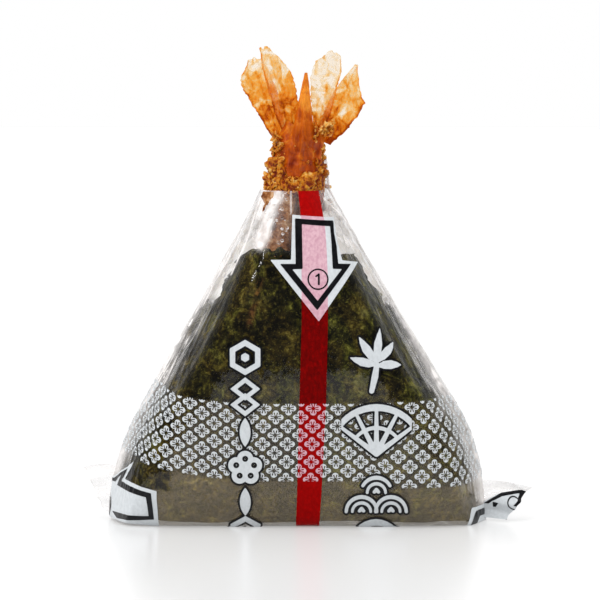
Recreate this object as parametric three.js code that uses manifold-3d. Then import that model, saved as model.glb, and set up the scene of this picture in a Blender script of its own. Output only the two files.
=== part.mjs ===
// A triangular onigiri rice ball in a clear film wrapper. It stands on its base, and a fried prawn's tail
// sticks out of the top.
//
// Millimetres, +Z up, +X to the right as the front panel is seen, and the front panel faces -Y. The origin
// lies on the flat base, under the middle of the pack. There are two pieces:
//   film_pack    the closed wrapper out to its film, with the two corner ears, the film's peak behind the
//                tail, and a socket that holds the prawn
//   prawn_tail   the prawn from its battered body, inside the socket, up to the tail fan

import * as THREE from "three";
import { mergeVertices } from "three/addons/utils/BufferGeometryUtils.js";
import Module from "manifold-3d";

const wasm = await Module();
wasm.setup();

// ---------------------------------------------------------------- driving dimensions

const PACK = {
  height: 82.5, // base to the film's front top edge
  // each side: half width at the top, what it gains per mm further down, and how that gain itself grows
  left: { neck: 9.7, slope: 0.515, flare: 0.0006 },
  right: { neck: 8.2, slope: 0.555, flare: 0.0006 },
  baseHalfWidth: 48.2,
  baseTaper: 0.2, // width lost by the upright lower corners, per mm of height
  cornerBlend: 4, // how far the slanted side and the lower corner melt into each other
  bellyHalfDepth: 20,
  bellyBulge: 0.0007, // depth lost per squared mm away from the belly
  bellyHeight: 26,
  neckHalfDepth: 9.2,
  shoulderSlope: 0.4, // half depth gained per mm down from the top
  shoulderBlend: 8,
  // the front and back panels turn into sides that slant to a ridge at mid depth, up both sides of the pack
  sideSlant: 1.9, // depth lost per mm towards the ridge
  panelBlend: 9, // how far the panels and the slanted sides melt into each other, low down and at the neck
  neckBlend: 4.5,
  ridgeRound: 0.12, // how blunt the ridge is
  // the lower edge rolls in to the flat base
  baseRoll: { height: 15, depth: 5.5, width: 1.2 },
  cornerLift: { height: 1.3, from: 30, to: 46, fadeHeight: 16 }, // the lower left corner is off the table
};

// Folds that run up the slanted sides.
const CREASE = { depth: 0.35, pitch: 6.5, drift: 0.06, onset: 6, fadeHeight: 12 };

// The film's two lower corners stick out as flat pleated ears. Each starts inside the pack.
const EAR = { root: 43.5, thickness: 0.9 };
const LEFT_EAR = {
  side: -1,
  rootLow: 1.4,
  rootHigh: 12.4,
  lowReach: 48.4,
  lowHeight: 2.2,
  highReach: 53.9,
  highHeight: 12.7,
  crown: 1.0, // how far the top edge bows up
  pleats: 2.4,
  pleatDepth: 1.0,
  lowBack: -3, // where the lower and the upper edge stand, front to back
  highBack: 1,
  sweep: 0, // how far the tip leans back
};
const RIGHT_EAR = {
  side: 1,
  rootLow: 0.9,
  rootHigh: 9.4,
  lowReach: 51.6,
  lowHeight: 0.7,
  highReach: 58.2,
  highHeight: 8.3,
  crown: 0.7,
  pleats: 1.6,
  pleatDepth: 1.3,
  lowBack: -4,
  highBack: 0,
  sweep: -4,
};

// The film's back layer, which stands up behind the prawn.
const PEAK = {
  fromAngle: -40, // degrees round from +X, towards the back
  toAngle: 150,
  fadeIn: 25, // degrees over which it rises from the pack at each end
  fadeOut: 40,
  topAngle: 18,
  spread: 32,
  low: 80.5,
  back: 84.5,
  top: 92.3,
  lean: 0.12, // how far it leans in, per mm above the pack
  inset: 0.3, // how far inside the pack's own surface it starts
  thickness: 0.6,
};

// The prawn's body and neck, from its end in the rice up to the root of the fan.
const BODY_STATIONS = [
  { z: 64, centre: -1.6, halfWidth: 4.6, halfDepth: 4.0 },
  { z: 68, centre: -1.4, halfWidth: 6.2, halfDepth: 5.0 },
  { z: 76, centre: -1.0, halfWidth: 6.9, halfDepth: 5.6 },
  { z: 83, centre: -0.7, halfWidth: 6.9, halfDepth: 5.6 },
  { z: 88, centre: -0.2, halfWidth: 6.3, halfDepth: 5.3 },
  { z: 92, centre: 0.3, halfWidth: 5.7, halfDepth: 4.6 },
  { z: 96, centre: 0.8, halfWidth: 6.2, halfDepth: 3.7 },
  { z: 99.5, centre: 0.9, halfWidth: 5.4, halfDepth: 2.0 },
];
const SOCKET_GAP = 0.35;

// The spike in the middle of the fan.
const TELSON = {
  low: 93,
  tip: 111.6,
  rootCentre: 0.9,
  tipCentre: 2.0,
  halfWidth: 3.2,
  halfDepth: 2.1,
  rootDepth: -2.2, // where its middle stands, front to back
  tipDepth: -0.6,
  tipShare: 0.06, // the tip's width as a share of the root's
  taper: 0.85,
  ridge: { height: 0.35, width: 0.3 }, // the keel on its front, as shares of its half depth and half width
};

// Each blade of the fan: its root and tip as seen from the front, how far behind the telson it stands, how
// it bows back, and its half widths at even steps from root to tip, away from the telson and on its side.
const BLADES = [
  {
    root: [-4.5, 95],
    tip: [-11.5, 114.9],
    depth: 1.9,
    bow: 1.6,
    away: [1.4, 2.3, 3.2, 4.1, 4.6, 2.0],
    near: [1.5, 2.6, 3.0, 3.0, 2.4, 1.5],
  },
  {
    root: [-2.0, 96],
    tip: [-7.6, 118.0],
    depth: 0.5,
    bow: -1.0,
    away: [1.4, 2.0, 2.3, 2.4, 2.4, 1.9],
    near: [1.6, 3.1, 4.2, 4.2, 3.5, 0.9],
  },
  {
    root: [4.75, 96],
    tip: [9.0, 116.8],
    depth: 0.6,
    bow: -1.0,
    away: [1.5, 1.9, 2.3, 2.5, 2.6, 1.2],
    near: [1.0, 2.0, 3.3, 4.2, 3.9, 0.4],
  },
  {
    root: [6.0, 94.5],
    tip: [14.75, 113.6],
    depth: 2.0,
    bow: 1.5,
    away: [2.1, 3.8, 4.8, 5.2, 3.5, 0.6],
    near: [1.6, 2.4, 2.6, 2.4, 1.6, 0.4],
  },
];
const BLADE_THICKNESS = 0.9;
const BLADE_CUP = 0.35; // how far the edges curl against the bow
const BLADE_EDGE = 0.4; // share of the thickness lost towards the edges
const RIB = { height: 0.5, width: 0.16 }; // the midrib, which fades out towards the tip

// Batter crumbs: how many, over which heights, and their sizes. They are smaller on the neck and sunk
// deeper on the side where the film's peak stands close.
const CRUMBS = {
  collar: 72,
  neck: 22,
  low: 82.9,
  high: 90.5,
  neckHigh: 98,
  small: 0.8,
  large: 2.0,
  hiddenShare: 0.7,
  sink: 0.1,
  sinkByFilm: 0.75,
  reach: 1.45, // how far the largest crumb reaches from its middle, as a share of its size
  seed: 23,
};

// How finely each form is divided.
const DIVISIONS = {
  shell: { around: 76, base: 3, up: 31 },
  ear: { out: 7, up: 12 },
  peak: { around: 22, up: 5 },
  body: { around: 22, up: 16 },
  telson: { around: 10, up: 9 },
  blade: { across: 8, up: 13 },
};

// ---------------------------------------------------------------- small tools

const { abs, cos, exp, hypot, max, min, PI, pow, sin, sqrt } = Math;
const degrees = (a) => (a * PI) / 180;
const mix = (a, b, t) => a + (b - a) * t;
const clamp01 = (t) => min(max(t, 0), 1);
const smoothStep = (t) => clamp01(t) ** 2 * (3 - 2 * clamp01(t));
const GOLDEN_ANGLE = PI * (3 - sqrt(5)); // spreads points evenly round a ring

function smoothMin(a, b, blend) {
  const near = max(blend - abs(a - b), 0) / blend;
  return min(a, b) - (near * near * blend) / 4;
}

// A value between evenly spaced stations, on a smooth curve through them.
function along(values, t) {
  const at = clamp01(t) * (values.length - 1);
  const i = min(Math.floor(at), values.length - 2);
  const f = at - i;
  const [a, b, c, d] = [max(i - 1, 0), i, i + 1, min(i + 2, values.length - 1)].map((k) => values[k]);
  const square = 2 * a - 5 * b + 4 * c - d;
  const cube = 3 * b - a - 3 * c + d;
  return b + 0.5 * ((c - a) * f + square * f ** 2 + cube * f ** 3);
}

function seededRandom(seed) {
  let state = seed;
  return () => {
    state = (state * 1664525 + 1013904223) % 4294967296;
    return state / 4294967296;
  };
}

// Moves each vertex of a closed three.js geometry to place(x, y, z), and makes a solid of it.
function solidFrom(geometry, place) {
  const bare = geometry.clone();
  bare.deleteAttribute("normal");
  bare.deleteAttribute("uv");
  const welded = mergeVertices(bare, 1e-4);
  const position = welded.attributes.position;
  for (let i = 0; i < position.count; i++) {
    position.setXYZ(i, ...place(position.getX(i), position.getY(i), position.getZ(i)));
  }
  const vertProperties = new Float32Array(position.array);
  const triVerts = new Uint32Array(welded.index.array);
  return new wasm.Manifold(new wasm.Mesh({ numProp: 3, vertProperties, triVerts }));
}

const joined = (solids) => solids.reduce((all, next) => all.add(next));

// The largest body of a solid, so that a crumb that touches nothing is dropped.
function mainBody(solid) {
  return solid.decompose().reduce((most, next) => (next.volume() > most.volume() ? next : most));
}

function meshFrom(solid, name, color, roughness) {
  const { vertProperties, triVerts } = solid.getMesh();
  const geometry = new THREE.BufferGeometry();
  geometry.setAttribute("position", new THREE.BufferAttribute(vertProperties, 3));
  geometry.setIndex(new THREE.BufferAttribute(triVerts, 1));
  geometry.computeVertexNormals();
  const mesh = new THREE.Mesh(geometry, new THREE.MeshStandardMaterial({ color, roughness, metalness: 0 }));
  mesh.name = name;
  return mesh;
}

// ---------------------------------------------------------------- the pack

function packHalfWidth(side, z) {
  const down = PACK.height - z;
  const slanted = side.neck + side.slope * down + side.flare * down ** 2;
  const upright = PACK.baseHalfWidth - PACK.baseTaper * z;
  return smoothMin(slanted, upright, PACK.cornerBlend);
}

function packHalfDepth(z) {
  const belly = PACK.bellyHalfDepth - PACK.bellyBulge * (z - PACK.bellyHeight) ** 2;
  const shoulder = PACK.neckHalfDepth + PACK.shoulderSlope * (PACK.height - z);
  return smoothMin(belly, shoulder, PACK.shoulderBlend);
}

// How far the rolled lower edge has drawn in at a height, from 0 to 1 at the base.
function baseRoll(z) {
  return 1 - sqrt(1 - clamp01(1 - z / PACK.baseRoll.height) ** 2);
}

// The long folds on the slanted sides, as a step outwards.
function crease(angle, z, halfDepth) {
  const onSide = pow(abs(cos(angle)), CREASE.onset) * smoothStep(z / CREASE.fadeHeight);
  return CREASE.depth * onSide * sin((2 * PI * halfDepth * sin(angle)) / CREASE.pitch + CREASE.drift * z);
}

// A point of the film at an angle from +X, turning towards +Y, and at a height.
function packPoint(angle, z) {
  const side = cos(angle) < 0 ? PACK.left : PACK.right;
  const halfWidth = packHalfWidth(side, z) - PACK.baseRoll.width * baseRoll(z);
  const halfDepth = packHalfDepth(z) - PACK.baseRoll.depth * baseRoll(z);
  const [across, deep] = [abs(cos(angle)), abs(sin(angle))];
  const blunt = hypot(deep, PACK.ridgeRound) - PACK.ridgeRound;
  const toSide = (PACK.sideSlant * halfWidth) / (PACK.sideSlant * across + blunt);
  const toPanel = halfDepth / max(deep, 1e-3);
  const blend = mix(PACK.panelBlend, PACK.neckBlend, smoothStep(z / PACK.height));
  const reach = smoothMin(toSide, toPanel, blend) + crease(angle, z, halfDepth);
  return [reach * cos(angle), reach * sin(angle)];
}

function cornerLift(x, z) {
  const { height, from, to, fadeHeight } = PACK.cornerLift;
  return height * smoothStep((-x - from) / (to - from)) * (1 - smoothStep(z / fadeHeight));
}

// The rings run from the middle of the base out to its edge, up the pack, and in over its top.
function packShell() {
  const { around, base, up } = DIVISIONS.shell;
  const rings = base + up + 1;
  const geometry = new THREE.SphereGeometry(1, around, rings);
  return solidFrom(geometry, (px, py, pz) => {
    const ring = Math.round(rings * (1 - Math.acos(clamp01(py / 2 + 0.5) * 2 - 1) / PI));
    const t = clamp01((ring - base) / up);
    const z = PACK.height * mix(t ** 2, t, smoothStep(t * 3)); // closer rings near the rolled base
    const spread = ring > base + up ? 0 : min(ring / base, 1);
    const [x, y] = packPoint(Math.atan2(-pz, px), z).map((reach) => reach * spread);
    return [x, y, z + cornerLift(x, z) * spread];
  });
}

function ear(shape) {
  const geometry = new THREE.BoxGeometry(1, 1, 1, DIVISIONS.ear.out, DIVISIONS.ear.up, 1);
  return solidFrom(geometry, (px, py, pz) => {
    const out = px * shape.side + 0.5;
    const up = py + 0.5;
    const reach = mix(EAR.root, mix(shape.lowReach, shape.highReach, up), out);
    const low = mix(shape.rootLow, shape.lowHeight, out);
    const high = mix(shape.rootHigh, shape.highHeight, out) + shape.crown * sin(PI * out);
    const pleat = shape.pleatDepth * out * sin(2 * PI * shape.pleats * up);
    const back = mix(shape.lowBack, shape.highBack, up) + pleat + shape.sweep * out ** 2;
    return [shape.side * reach, back - pz * EAR.thickness, mix(low, high, up)];
  });
}

// Where the film ends above the pack at an angle, in degrees.
function peakHeight(angle) {
  const bump = exp(-(((angle - PEAK.topAngle) / PEAK.spread) ** 2));
  const start = smoothStep((angle - PEAK.fromAngle) / PEAK.fadeIn);
  const end = smoothStep((PEAK.toAngle - angle) / PEAK.fadeOut);
  return mix(PACK.height, mix(PEAK.back, PEAK.top, bump), start * end);
}

function filmPeak() {
  const geometry = new THREE.BoxGeometry(1, 1, 1, DIVISIONS.peak.around, DIVISIONS.peak.up, 1);
  return solidFrom(geometry, (px, py, pz) => {
    const angle = mix(PEAK.fromAngle, PEAK.toAngle, 0.5 - px);
    const z = mix(PEAK.low, peakHeight(angle), py + 0.5);
    const lean = PEAK.lean * max(z - PACK.height, 0);
    const [x, y] = packPoint(degrees(angle), min(z, PACK.height));
    const size = hypot(x, y);
    const scale = (size - PEAK.inset - lean + (pz - 0.5) * PEAK.thickness) / size;
    return [x * scale, y * scale, z];
  });
}

// ---------------------------------------------------------------- the prawn

function bodySection(z) {
  const heights = BODY_STATIONS.map((s) => s.z);
  const i = max(heights.findLastIndex((h) => h <= z), 0);
  const next = min(i + 1, heights.length - 1);
  const t = next === i ? 0 : (z - heights[i]) / (heights[next] - heights[i]);
  const at = (key) => along(BODY_STATIONS.map((s) => s[key]), (i + t) / (heights.length - 1));
  return { centre: at("centre"), halfWidth: at("halfWidth"), halfDepth: at("halfDepth") };
}

// The prawn's body up to a height, or grown by a gap all round, the space that it needs.
function prawnBody(grow, top) {
  const { around, up } = DIVISIONS.body;
  const geometry = new THREE.CylinderGeometry(1, 1, 1, around, up, false);
  const low = BODY_STATIONS[0].z - grow;
  return solidFrom(geometry, (px, py, pz) => {
    const z = mix(low, top, py + 0.5);
    const { centre, halfWidth, halfDepth } = bodySection(z);
    return [centre + px * (halfWidth + grow), -pz * (halfDepth + grow), z];
  });
}

function telson() {
  const { around, up } = DIVISIONS.telson;
  const geometry = new THREE.CylinderGeometry(1, 1, 1, around, up, false);
  return solidFrom(geometry, (px, py, pz) => {
    const t = py + 0.5;
    const narrow = pow(1 - (1 - TELSON.tipShare) * t, TELSON.taper);
    const centre = mix(TELSON.rootCentre, TELSON.tipCentre, t);
    const keel = pz > 0 ? TELSON.ridge.height * exp(-((px / TELSON.ridge.width) ** 2)) : 0;
    const y = mix(TELSON.rootDepth, TELSON.tipDepth, t) - pz * TELSON.halfDepth * narrow * (1 + keel);
    return [centre + px * TELSON.halfWidth * narrow, y, mix(TELSON.low, TELSON.tip, t)];
  });
}

function blade({ root, tip, depth, bow, away, near }) {
  const [dx, dz] = [tip[0] - root[0], tip[1] - root[1]];
  const length = hypot(dx, dz);
  const outward = dx < 0 ? -1 : 1; // the side away from the telson
  const across = [(outward * dz) / length, (-outward * dx) / length];
  const geometry = new THREE.BoxGeometry(1, 1, 1, DIVISIONS.blade.across, DIVISIONS.blade.up, 1);
  return solidFrom(geometry, (px, py, pz) => {
    const t = py + 0.5;
    const s = px * outward * 2; // from -1 at the near edge to 1 at the edge away from the telson
    const width = s > 0 ? along(away, t) : along(near, t);
    const x = root[0] + dx * t + across[0] * s * width;
    const z = root[1] + dz * t + across[1] * s * width;
    const rib = RIB.height * exp(-((s / RIB.width) ** 2)) * (1 - t);
    const thickness = BLADE_THICKNESS * (1 - BLADE_EDGE * s ** 2) + rib;
    return [x, depth + bow * (t ** 2 - BLADE_CUP * s ** 2) - pz * thickness, z];
  });
}

// One craggy crumb.
function crumb(random, x, y, z, size) {
  const [sx, sy, sz] = [0, 0, 0].map(() => size * mix(0.55, 1.15, random()));
  const turn = new THREE.Euler(random() * 2 * PI, random() * 2 * PI, random() * 2 * PI);
  const point = new THREE.Vector3();
  return solidFrom(new THREE.IcosahedronGeometry(1, 0), (px, py, pz) => {
    const uneven = mix(0.75, 1.25, random());
    point.set(px * sx, py * sy, pz * sz).multiplyScalar(uneven).applyEuler(turn);
    return [x + point.x, y + point.y, z + point.z];
  });
}

// Batter crumbs in a thick collar at the film's edge, and a few up to the fan's root.
function crumbs() {
  const random = seededRandom(CRUMBS.seed);
  const made = [];
  for (let i = 0; i < CRUMBS.collar + CRUMBS.neck; i++) {
    const onNeck = i >= CRUMBS.collar;
    const [from, to] = onNeck ? [CRUMBS.high, CRUMBS.neckHigh] : [CRUMBS.low, CRUMBS.high];
    const angle = i * GOLDEN_ANGLE + random() * 0.5;
    const byFilm = cos(angle - degrees(PEAK.topAngle)) > 0.55;
    const shrink = (onNeck ? CRUMBS.hiddenShare : 1) * (byFilm ? CRUMBS.hiddenShare : 1);
    const size = mix(CRUMBS.small, CRUMBS.large, random() ** 1.5) * shrink;
    const z = max(mix(from, to, random()), CRUMBS.low + CRUMBS.reach * size);
    const sunk = (byFilm ? CRUMBS.sinkByFilm : CRUMBS.sink) * size;
    const { centre, halfWidth, halfDepth } = bodySection(z);
    const x = centre + cos(angle) * (halfWidth - sunk);
    made.push(crumb(random, x, sin(angle) * (halfDepth - sunk), z, size));
  }
  return made;
}

// ---------------------------------------------------------------- assembly

const socket = prawnBody(SOCKET_GAP, PACK.height + 3);
const pack = joined([packShell(), ear(LEFT_EAR), ear(RIGHT_EAR), filmPeak()]).subtract(socket);
const bodyTop = BODY_STATIONS.at(-1).z;
const prawn = joined([prawnBody(0, bodyTop), telson(), ...BLADES.map(blade), ...crumbs()]);

const onigiri = new THREE.Group();
onigiri.name = "onigiri";
onigiri.add(meshFrom(mainBody(pack), "film_pack", 0x3d3f28, 0.35));
onigiri.add(meshFrom(mainBody(prawn), "prawn_tail", 0xc8782a, 0.55));

export default onigiri;
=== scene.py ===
"""A triangular onigiri in clear printed film, with a fried prawn's tail fan out of the top.

Lengths are in millimetres up to mesh_piece(), which turns them into metres. Inside the materials they are in
metres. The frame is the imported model's: +Z up, +X to the right as the front panel is seen, and that panel faces
-Y. A place on the film is given by s, the length along the film from the middle of the front panel (positive to
the right), and its height z. A region is a function of two coordinates, and is negative inside.
"""

import math

import bmesh
import bpy
import numpy as np
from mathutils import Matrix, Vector
from mathutils.geometry import tessellate_polygon


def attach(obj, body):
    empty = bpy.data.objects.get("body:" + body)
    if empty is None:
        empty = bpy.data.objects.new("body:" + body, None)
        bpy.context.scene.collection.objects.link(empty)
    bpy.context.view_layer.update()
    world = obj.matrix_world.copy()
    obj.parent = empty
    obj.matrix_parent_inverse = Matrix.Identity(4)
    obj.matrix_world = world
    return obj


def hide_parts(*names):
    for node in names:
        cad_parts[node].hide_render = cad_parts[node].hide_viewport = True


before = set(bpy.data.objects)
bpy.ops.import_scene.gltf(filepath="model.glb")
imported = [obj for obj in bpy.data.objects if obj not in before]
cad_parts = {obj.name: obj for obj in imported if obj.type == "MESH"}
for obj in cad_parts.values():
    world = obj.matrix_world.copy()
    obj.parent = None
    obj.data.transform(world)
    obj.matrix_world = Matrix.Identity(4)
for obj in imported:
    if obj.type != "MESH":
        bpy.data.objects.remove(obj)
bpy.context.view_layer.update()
MM = 0.001

# ---------------------------------------------------------------- camera

AIM = (0.5, 0.0, 54.9)
CAMERA_DISTANCE = 800.0
CAMERA_ELEVATION = 4.0
FRAME_WIDTH = 150.0  # what the picture takes in at the aim point
SENSOR = 36.0

# ---------------------------------------------------------------- driving dimensions, as in the CAD

HEIGHT = 82.5
LEFT_SIDE = dict(neck=9.7, slope=0.515, flare=0.0006)
RIGHT_SIDE = dict(neck=8.2, slope=0.555, flare=0.0006)
BASE_HALF_WIDTH, BASE_TAPER, CORNER_BLEND = 48.2, 0.2, 4.0
BELLY_HALF_DEPTH, BELLY_BULGE, BELLY_HEIGHT = 20.0, 0.0007, 26.0
NECK_HALF_DEPTH, SHOULDER_SLOPE, SHOULDER_BLEND = 9.2, 0.4, 8.0
SIDE_SLANT, RIDGE_ROUND = 1.9, 0.12
PANEL_BLEND, NECK_BLEND = 9.0, 4.5
BASE_ROLL = dict(height=15.0, depth=5.5, width=1.2)
CORNER_LIFT = dict(height=0.6, start=30.0, end=46.0, fade_height=16.0)
CREASE = dict(depth=0.35, pitch=6.5, drift=0.06, onset=6, fade_height=12.0)

EAR_ROOT = 43.5
LEFT_EAR = dict(side=-1, root_low=1.4, root_high=12.4, low_reach=48.4, low_height=2.2, high_reach=53.9,
                high_height=12.7, crown=1.0, pleats=2.4, pleat_depth=1.0, low_back=-3, high_back=1, sweep=0)
RIGHT_EAR = dict(side=1, root_low=0.9, root_high=9.4, low_reach=51.6, low_height=0.7, high_reach=58.2,
                 high_height=8.3, crown=0.7, pleats=1.6, pleat_depth=1.3, low_back=-4, high_back=0, sweep=-4)

PEAK = dict(start=-40, end=150, fade_in=25, fade_out=40, top_angle=18, spread=32, back=84.5, top=92.3,
            lean=0.12)

BODY_STATIONS = [  # height, middle, half width, half depth
    (64, -1.6, 4.6, 4.0), (68, -1.4, 6.2, 5.0), (76, -1.0, 6.9, 5.6), (83, -0.7, 6.9, 5.6),
    (88, -0.2, 6.3, 5.3), (92, 0.3, 5.7, 4.6), (96, 0.8, 6.2, 3.7), (99.5, 0.9, 5.4, 2.0),
]
TELSON = dict(low=93, tip=111.6, root_centre=0.9, tip_centre=2.0, half_width=3.2, half_depth=2.1,
              root_depth=-2.2, tip_depth=-0.6, tip_share=0.06, taper=0.85, keel=0.35, keel_width=0.3)
# The fan's blades: half widths from root to tip, away from the fan's middle and near it, a corner on the far
# edge (where along, how far out), the joint's share of the length, and base and joint for its amber root.
BLADES = [
    dict(name="blade_a",
         root=(-4.5, 95), tip=(-11.5, 114.9), depth=1.9, bow=1.6, round=0.3, joint=0.42, base=0.46,
         away=(1.4, 2.3, 3.2, 4.1, 4.5, 1.1), near=(1.5, 2.6, 3.0, 3.2, 3.0, 2.3), corner=(0.87, 0.2)),
    dict(name="blade_b",
         root=(-2.0, 96), tip=(-7.6, 118.0), depth=0.5, bow=-1.0, round=0.2, joint=0.38, base=0.44,
         away=(1.4, 2.0, 2.3, 2.4, 2.4, 1.9), near=(1.6, 3.1, 4.2, 4.3, 2.9, 0.4), corner=(0.6, 0.0)),
    dict(name="blade_c",
         root=(4.75, 96), tip=(9.0, 116.8), depth=0.6, bow=-1.0, round=1.3, joint=0.22, base=0.27,
         away=(1.5, 1.9, 2.3, 2.5, 2.6, 2.1), near=(1.0, 2.0, 3.3, 4.2, 4.3, 2.4), corner=(0.6, 0.0)),
    dict(name="blade_d",
         root=(6.0, 94.5), tip=(14.75, 113.6), depth=2.0, bow=1.5, round=0.3, joint=0.3, base=0.42,
         away=(2.3, 4.0, 5.2, 5.2, 2.5, 0.4), near=(1.6, 2.4, 2.6, 2.4, 1.6, 0.4), corner=(0.63, 0.6)),
]
BLADE_CUP = 0.35

# ---------------------------------------------------------------- what lies in and on the film

FILM_GAP = 0.7  # from the film in to the nori
RICE_GAP = 1.5  # from the film in to the rice
RICE_FOOT, RICE_WALL_TOP, RICE_TOP = 1.4, 70.0, 76.0
GRAIN_HALF_SIZE = (2.9, 1.25, 1.15)
NORI_FOOT, PANEL_TOP, FLAP_TOP, FLAP_EDGE = 0.4, 69.5, 57.0, 54.5
NORI_THICK, SHELL_THICK = 0.25, 0.22
# From the pack's outline in to the nori's edges, as seen from the front, by height.
NORI_LEFT_INSET = [(0, 0.5), (15, 0.5), (30, 0.8), (38, 1.1), (46, 1.6), (54, 2.8), (58, 2.8), (70, 2.6)]
NORI_RIGHT_INSET = [(0, 0.5), (15, 0.6), (30, 1.0), (41, 1.3), (49, 2.2), (57, 1.9), (64, 2.4), (70, 2.4)]
# The height of its ragged top edge, by x.
NORI_TOP = [(-30, 54.0), (-17, 62.5), (-13.2, 67.0), (-11.3, 68.1), (-8.1, 68.9), (-4.4, 68.4), (-2.0, 68.1),
            (5.0, 66.5), (11.1, 67.0), (14.5, 66.3), (16.4, 64.7), (30, 58.0)]

BAND_LOW, BAND_HIGH = 11.8, 30.85
BLOSSOM = dict(pitch=6.05, row=2.19, first_s=3.75, first_z=29.73, half_width=1.9, half_height=1.72)
STRIP_CENTRE = [(0, 2.35), (9.5, 2.8), (31, 3.6), (50, 4.1), (62, 4.1), (75, 3.75), (82.5, 3.0)]
STRIP_HALF_WIDTH = [(0, 2.85), (9.5, 3.0), (31, 3.25), (62, 3.2), (75, 2.95), (82.5, 2.95)]
PRINT_STEP = 0.05  # each layer of print stands this far out from the one below
LAYERS = dict(strip=0.7, blossom=1, blossom_on_strip=2, plate=3, line=4, ornament_edge=5, ornament=6)
# Painted highlights on folds of the front that catch the light: points in x and z, then how strong and how wide.
FOLD_HIGHLIGHTS = [([(-8.6, 82.5), (-10.2, 78.6), (-11.7, 73.2), (-12.9, 69.6), (-16.5, 62)], 0.75, 0.22),
         ([(-9.9, 82.2), (-13.0, 74.5), (-17.0, 66.5), (-22.5, 57)], 0.45, 0.30),
         ([(-1.75, 82.4), (-1.7, 77.1)], 0.6, 0.22),
         ([(6.4, 80.6), (10.1, 76.9), (14.0, 72.4), (17.2, 68.1)], 0.7, 0.20),
         ([(9.6, 80.0), (12.5, 75.0), (19.5, 64.5)], 0.45, 0.22),
         ([(17.0, 66.5), (22.0, 60.5), (25.5, 53.5)], 0.5, 0.2),
         ([(-24.5, 52.5), (-29.0, 45.0), (-34.0, 36.0)], 0.35, 0.25),
         ([(-7.9, 82.5), (-8.3, 79.0), (-9.2, 76.5)], 0.80, 1.2)]
# The glare below is a painted white sheen on the film.
GLARE = [(-5.6, 81.6), (-7.4, 76.5), (-9.4, 70.2)]  # a white sheen left of the strip, in s and z

# ---------------------------------------------------------------- small tools


def mix(a, b, t):
    return a + (b - a) * t


def smooth_step(t):
    t = np.clip(t, 0, 1)
    return t * t * (3 - 2 * t)


def rise(value, start, width):
    """0 up to the start and 1 from a width further on, with a smooth change between."""
    return smooth_step((value - start) / width)


def bell(value, middle, width, power=2):
    """1 in the middle, and less on both sides."""
    return np.exp(-(((value - middle) / width) ** power))


def smooth_min(a, b, blend):
    near = np.maximum(blend - np.abs(a - b), 0) / blend
    return np.minimum(a, b) - near * near * blend / 4


def by_height(table, z):
    return np.interp(z, [row[0] for row in table], [row[1] for row in table])


def along(values, t):
    """A value between evenly spaced stations, on a smooth curve through them."""
    v = np.asarray(values, float)
    at = np.clip(t, 0, 1) * (len(v) - 1)
    i = np.minimum(np.floor(at).astype(int), len(v) - 2)
    f = at - i
    a, b, c, d = v[np.maximum(i - 1, 0)], v[i], v[i + 1], v[np.minimum(i + 2, len(v) - 1)]
    return b + 0.5 * ((c - a) * f + (2 * a - 5 * b + 4 * c - d) * f**2 + (3 * b - a - 3 * c + d) * f**3)


def unit(vectors):
    return vectors / np.linalg.norm(vectors, axis=-1, keepdims=True)


def hashed(i, j, k, seed):
    h = np.sin(i * 127.1 + j * 311.7 + k * 74.7 + seed * 53.3) * 43758.5453
    return h - np.floor(h)


def value_noise(x, y, z, seed=0):
    """Smooth noise from -1 to 1 that changes over about one unit."""
    x, y, z = np.broadcast_arrays(np.asarray(x, float), y, z)
    i, j, k = np.floor(x), np.floor(y), np.floor(z)
    u, v, w = smooth_step(x - i), smooth_step(y - j), smooth_step(z - k)
    total = 0
    for di in (0, 1):
        for dj in (0, 1):
            for dk in (0, 1):
                share = (u if di else 1 - u) * (v if dj else 1 - v) * (w if dk else 1 - w)
                total = total + share * hashed(i + di, j + dj, k + dk, seed)
    return total * 2 - 1


def fractal(x, y, z, seed=0):
    """Noise of three sizes, each half as large and half as strong as the one before."""
    total = 0
    for octave in range(3):
        finer = 2**octave
        total = total + value_noise(x * finer, y * finer, z * finer, seed + 7 * octave) / finer
    return total


# ---------------------------------------------------------------- the film's form


def half_width(side, z):
    down = HEIGHT - z
    slanted = side["neck"] + side["slope"] * down + side["flare"] * down**2
    return smooth_min(slanted, BASE_HALF_WIDTH - BASE_TAPER * z, CORNER_BLEND)


def half_depth(z):
    belly = BELLY_HALF_DEPTH - BELLY_BULGE * (z - BELLY_HEIGHT) ** 2
    return smooth_min(belly, NECK_HALF_DEPTH + SHOULDER_SLOPE * (HEIGHT - z), SHOULDER_BLEND)


def base_roll(z):
    return 1 - np.sqrt(1 - np.clip(1 - z / BASE_ROLL["height"], 0, 1) ** 2)


def pack_point(turn, z, inset=0.0):
    """x and y of the film at a turn in degrees from the front's middle, positive to the right."""
    angle = np.radians(turn - 90)
    cos, sin = np.cos(angle), np.sin(angle)
    across, deep = np.abs(cos), np.abs(sin)
    wide = np.where(cos < 0, half_width(LEFT_SIDE, z), half_width(RIGHT_SIDE, z))
    wide = wide - BASE_ROLL["width"] * base_roll(z)
    depth = half_depth(z) - BASE_ROLL["depth"] * base_roll(z)
    blunt = np.hypot(deep, RIDGE_ROUND) - RIDGE_ROUND
    to_side = SIDE_SLANT * wide / (SIDE_SLANT * across + blunt)
    to_panel = depth / np.maximum(deep, 1e-3)
    on_side = across ** CREASE["onset"] * smooth_step(z / CREASE["fade_height"])
    fold = CREASE["depth"] * on_side * np.sin(2 * np.pi * depth * sin / CREASE["pitch"] + CREASE["drift"] * z)
    reach = smooth_min(to_side, to_panel, mix(PANEL_BLEND, NECK_BLEND, smooth_step(z / HEIGHT))) + fold
    return (reach - inset) * cos, (reach - inset) * sin


def corner_lift(x, z):
    out = rise(-x, CORNER_LIFT["start"], CORNER_LIFT["end"] - CORNER_LIFT["start"])
    return CORNER_LIFT["height"] * out * (1 - smooth_step(z / CORNER_LIFT["fade_height"]))


ROW_STEP = 0.5  # between the rows of the table


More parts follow.
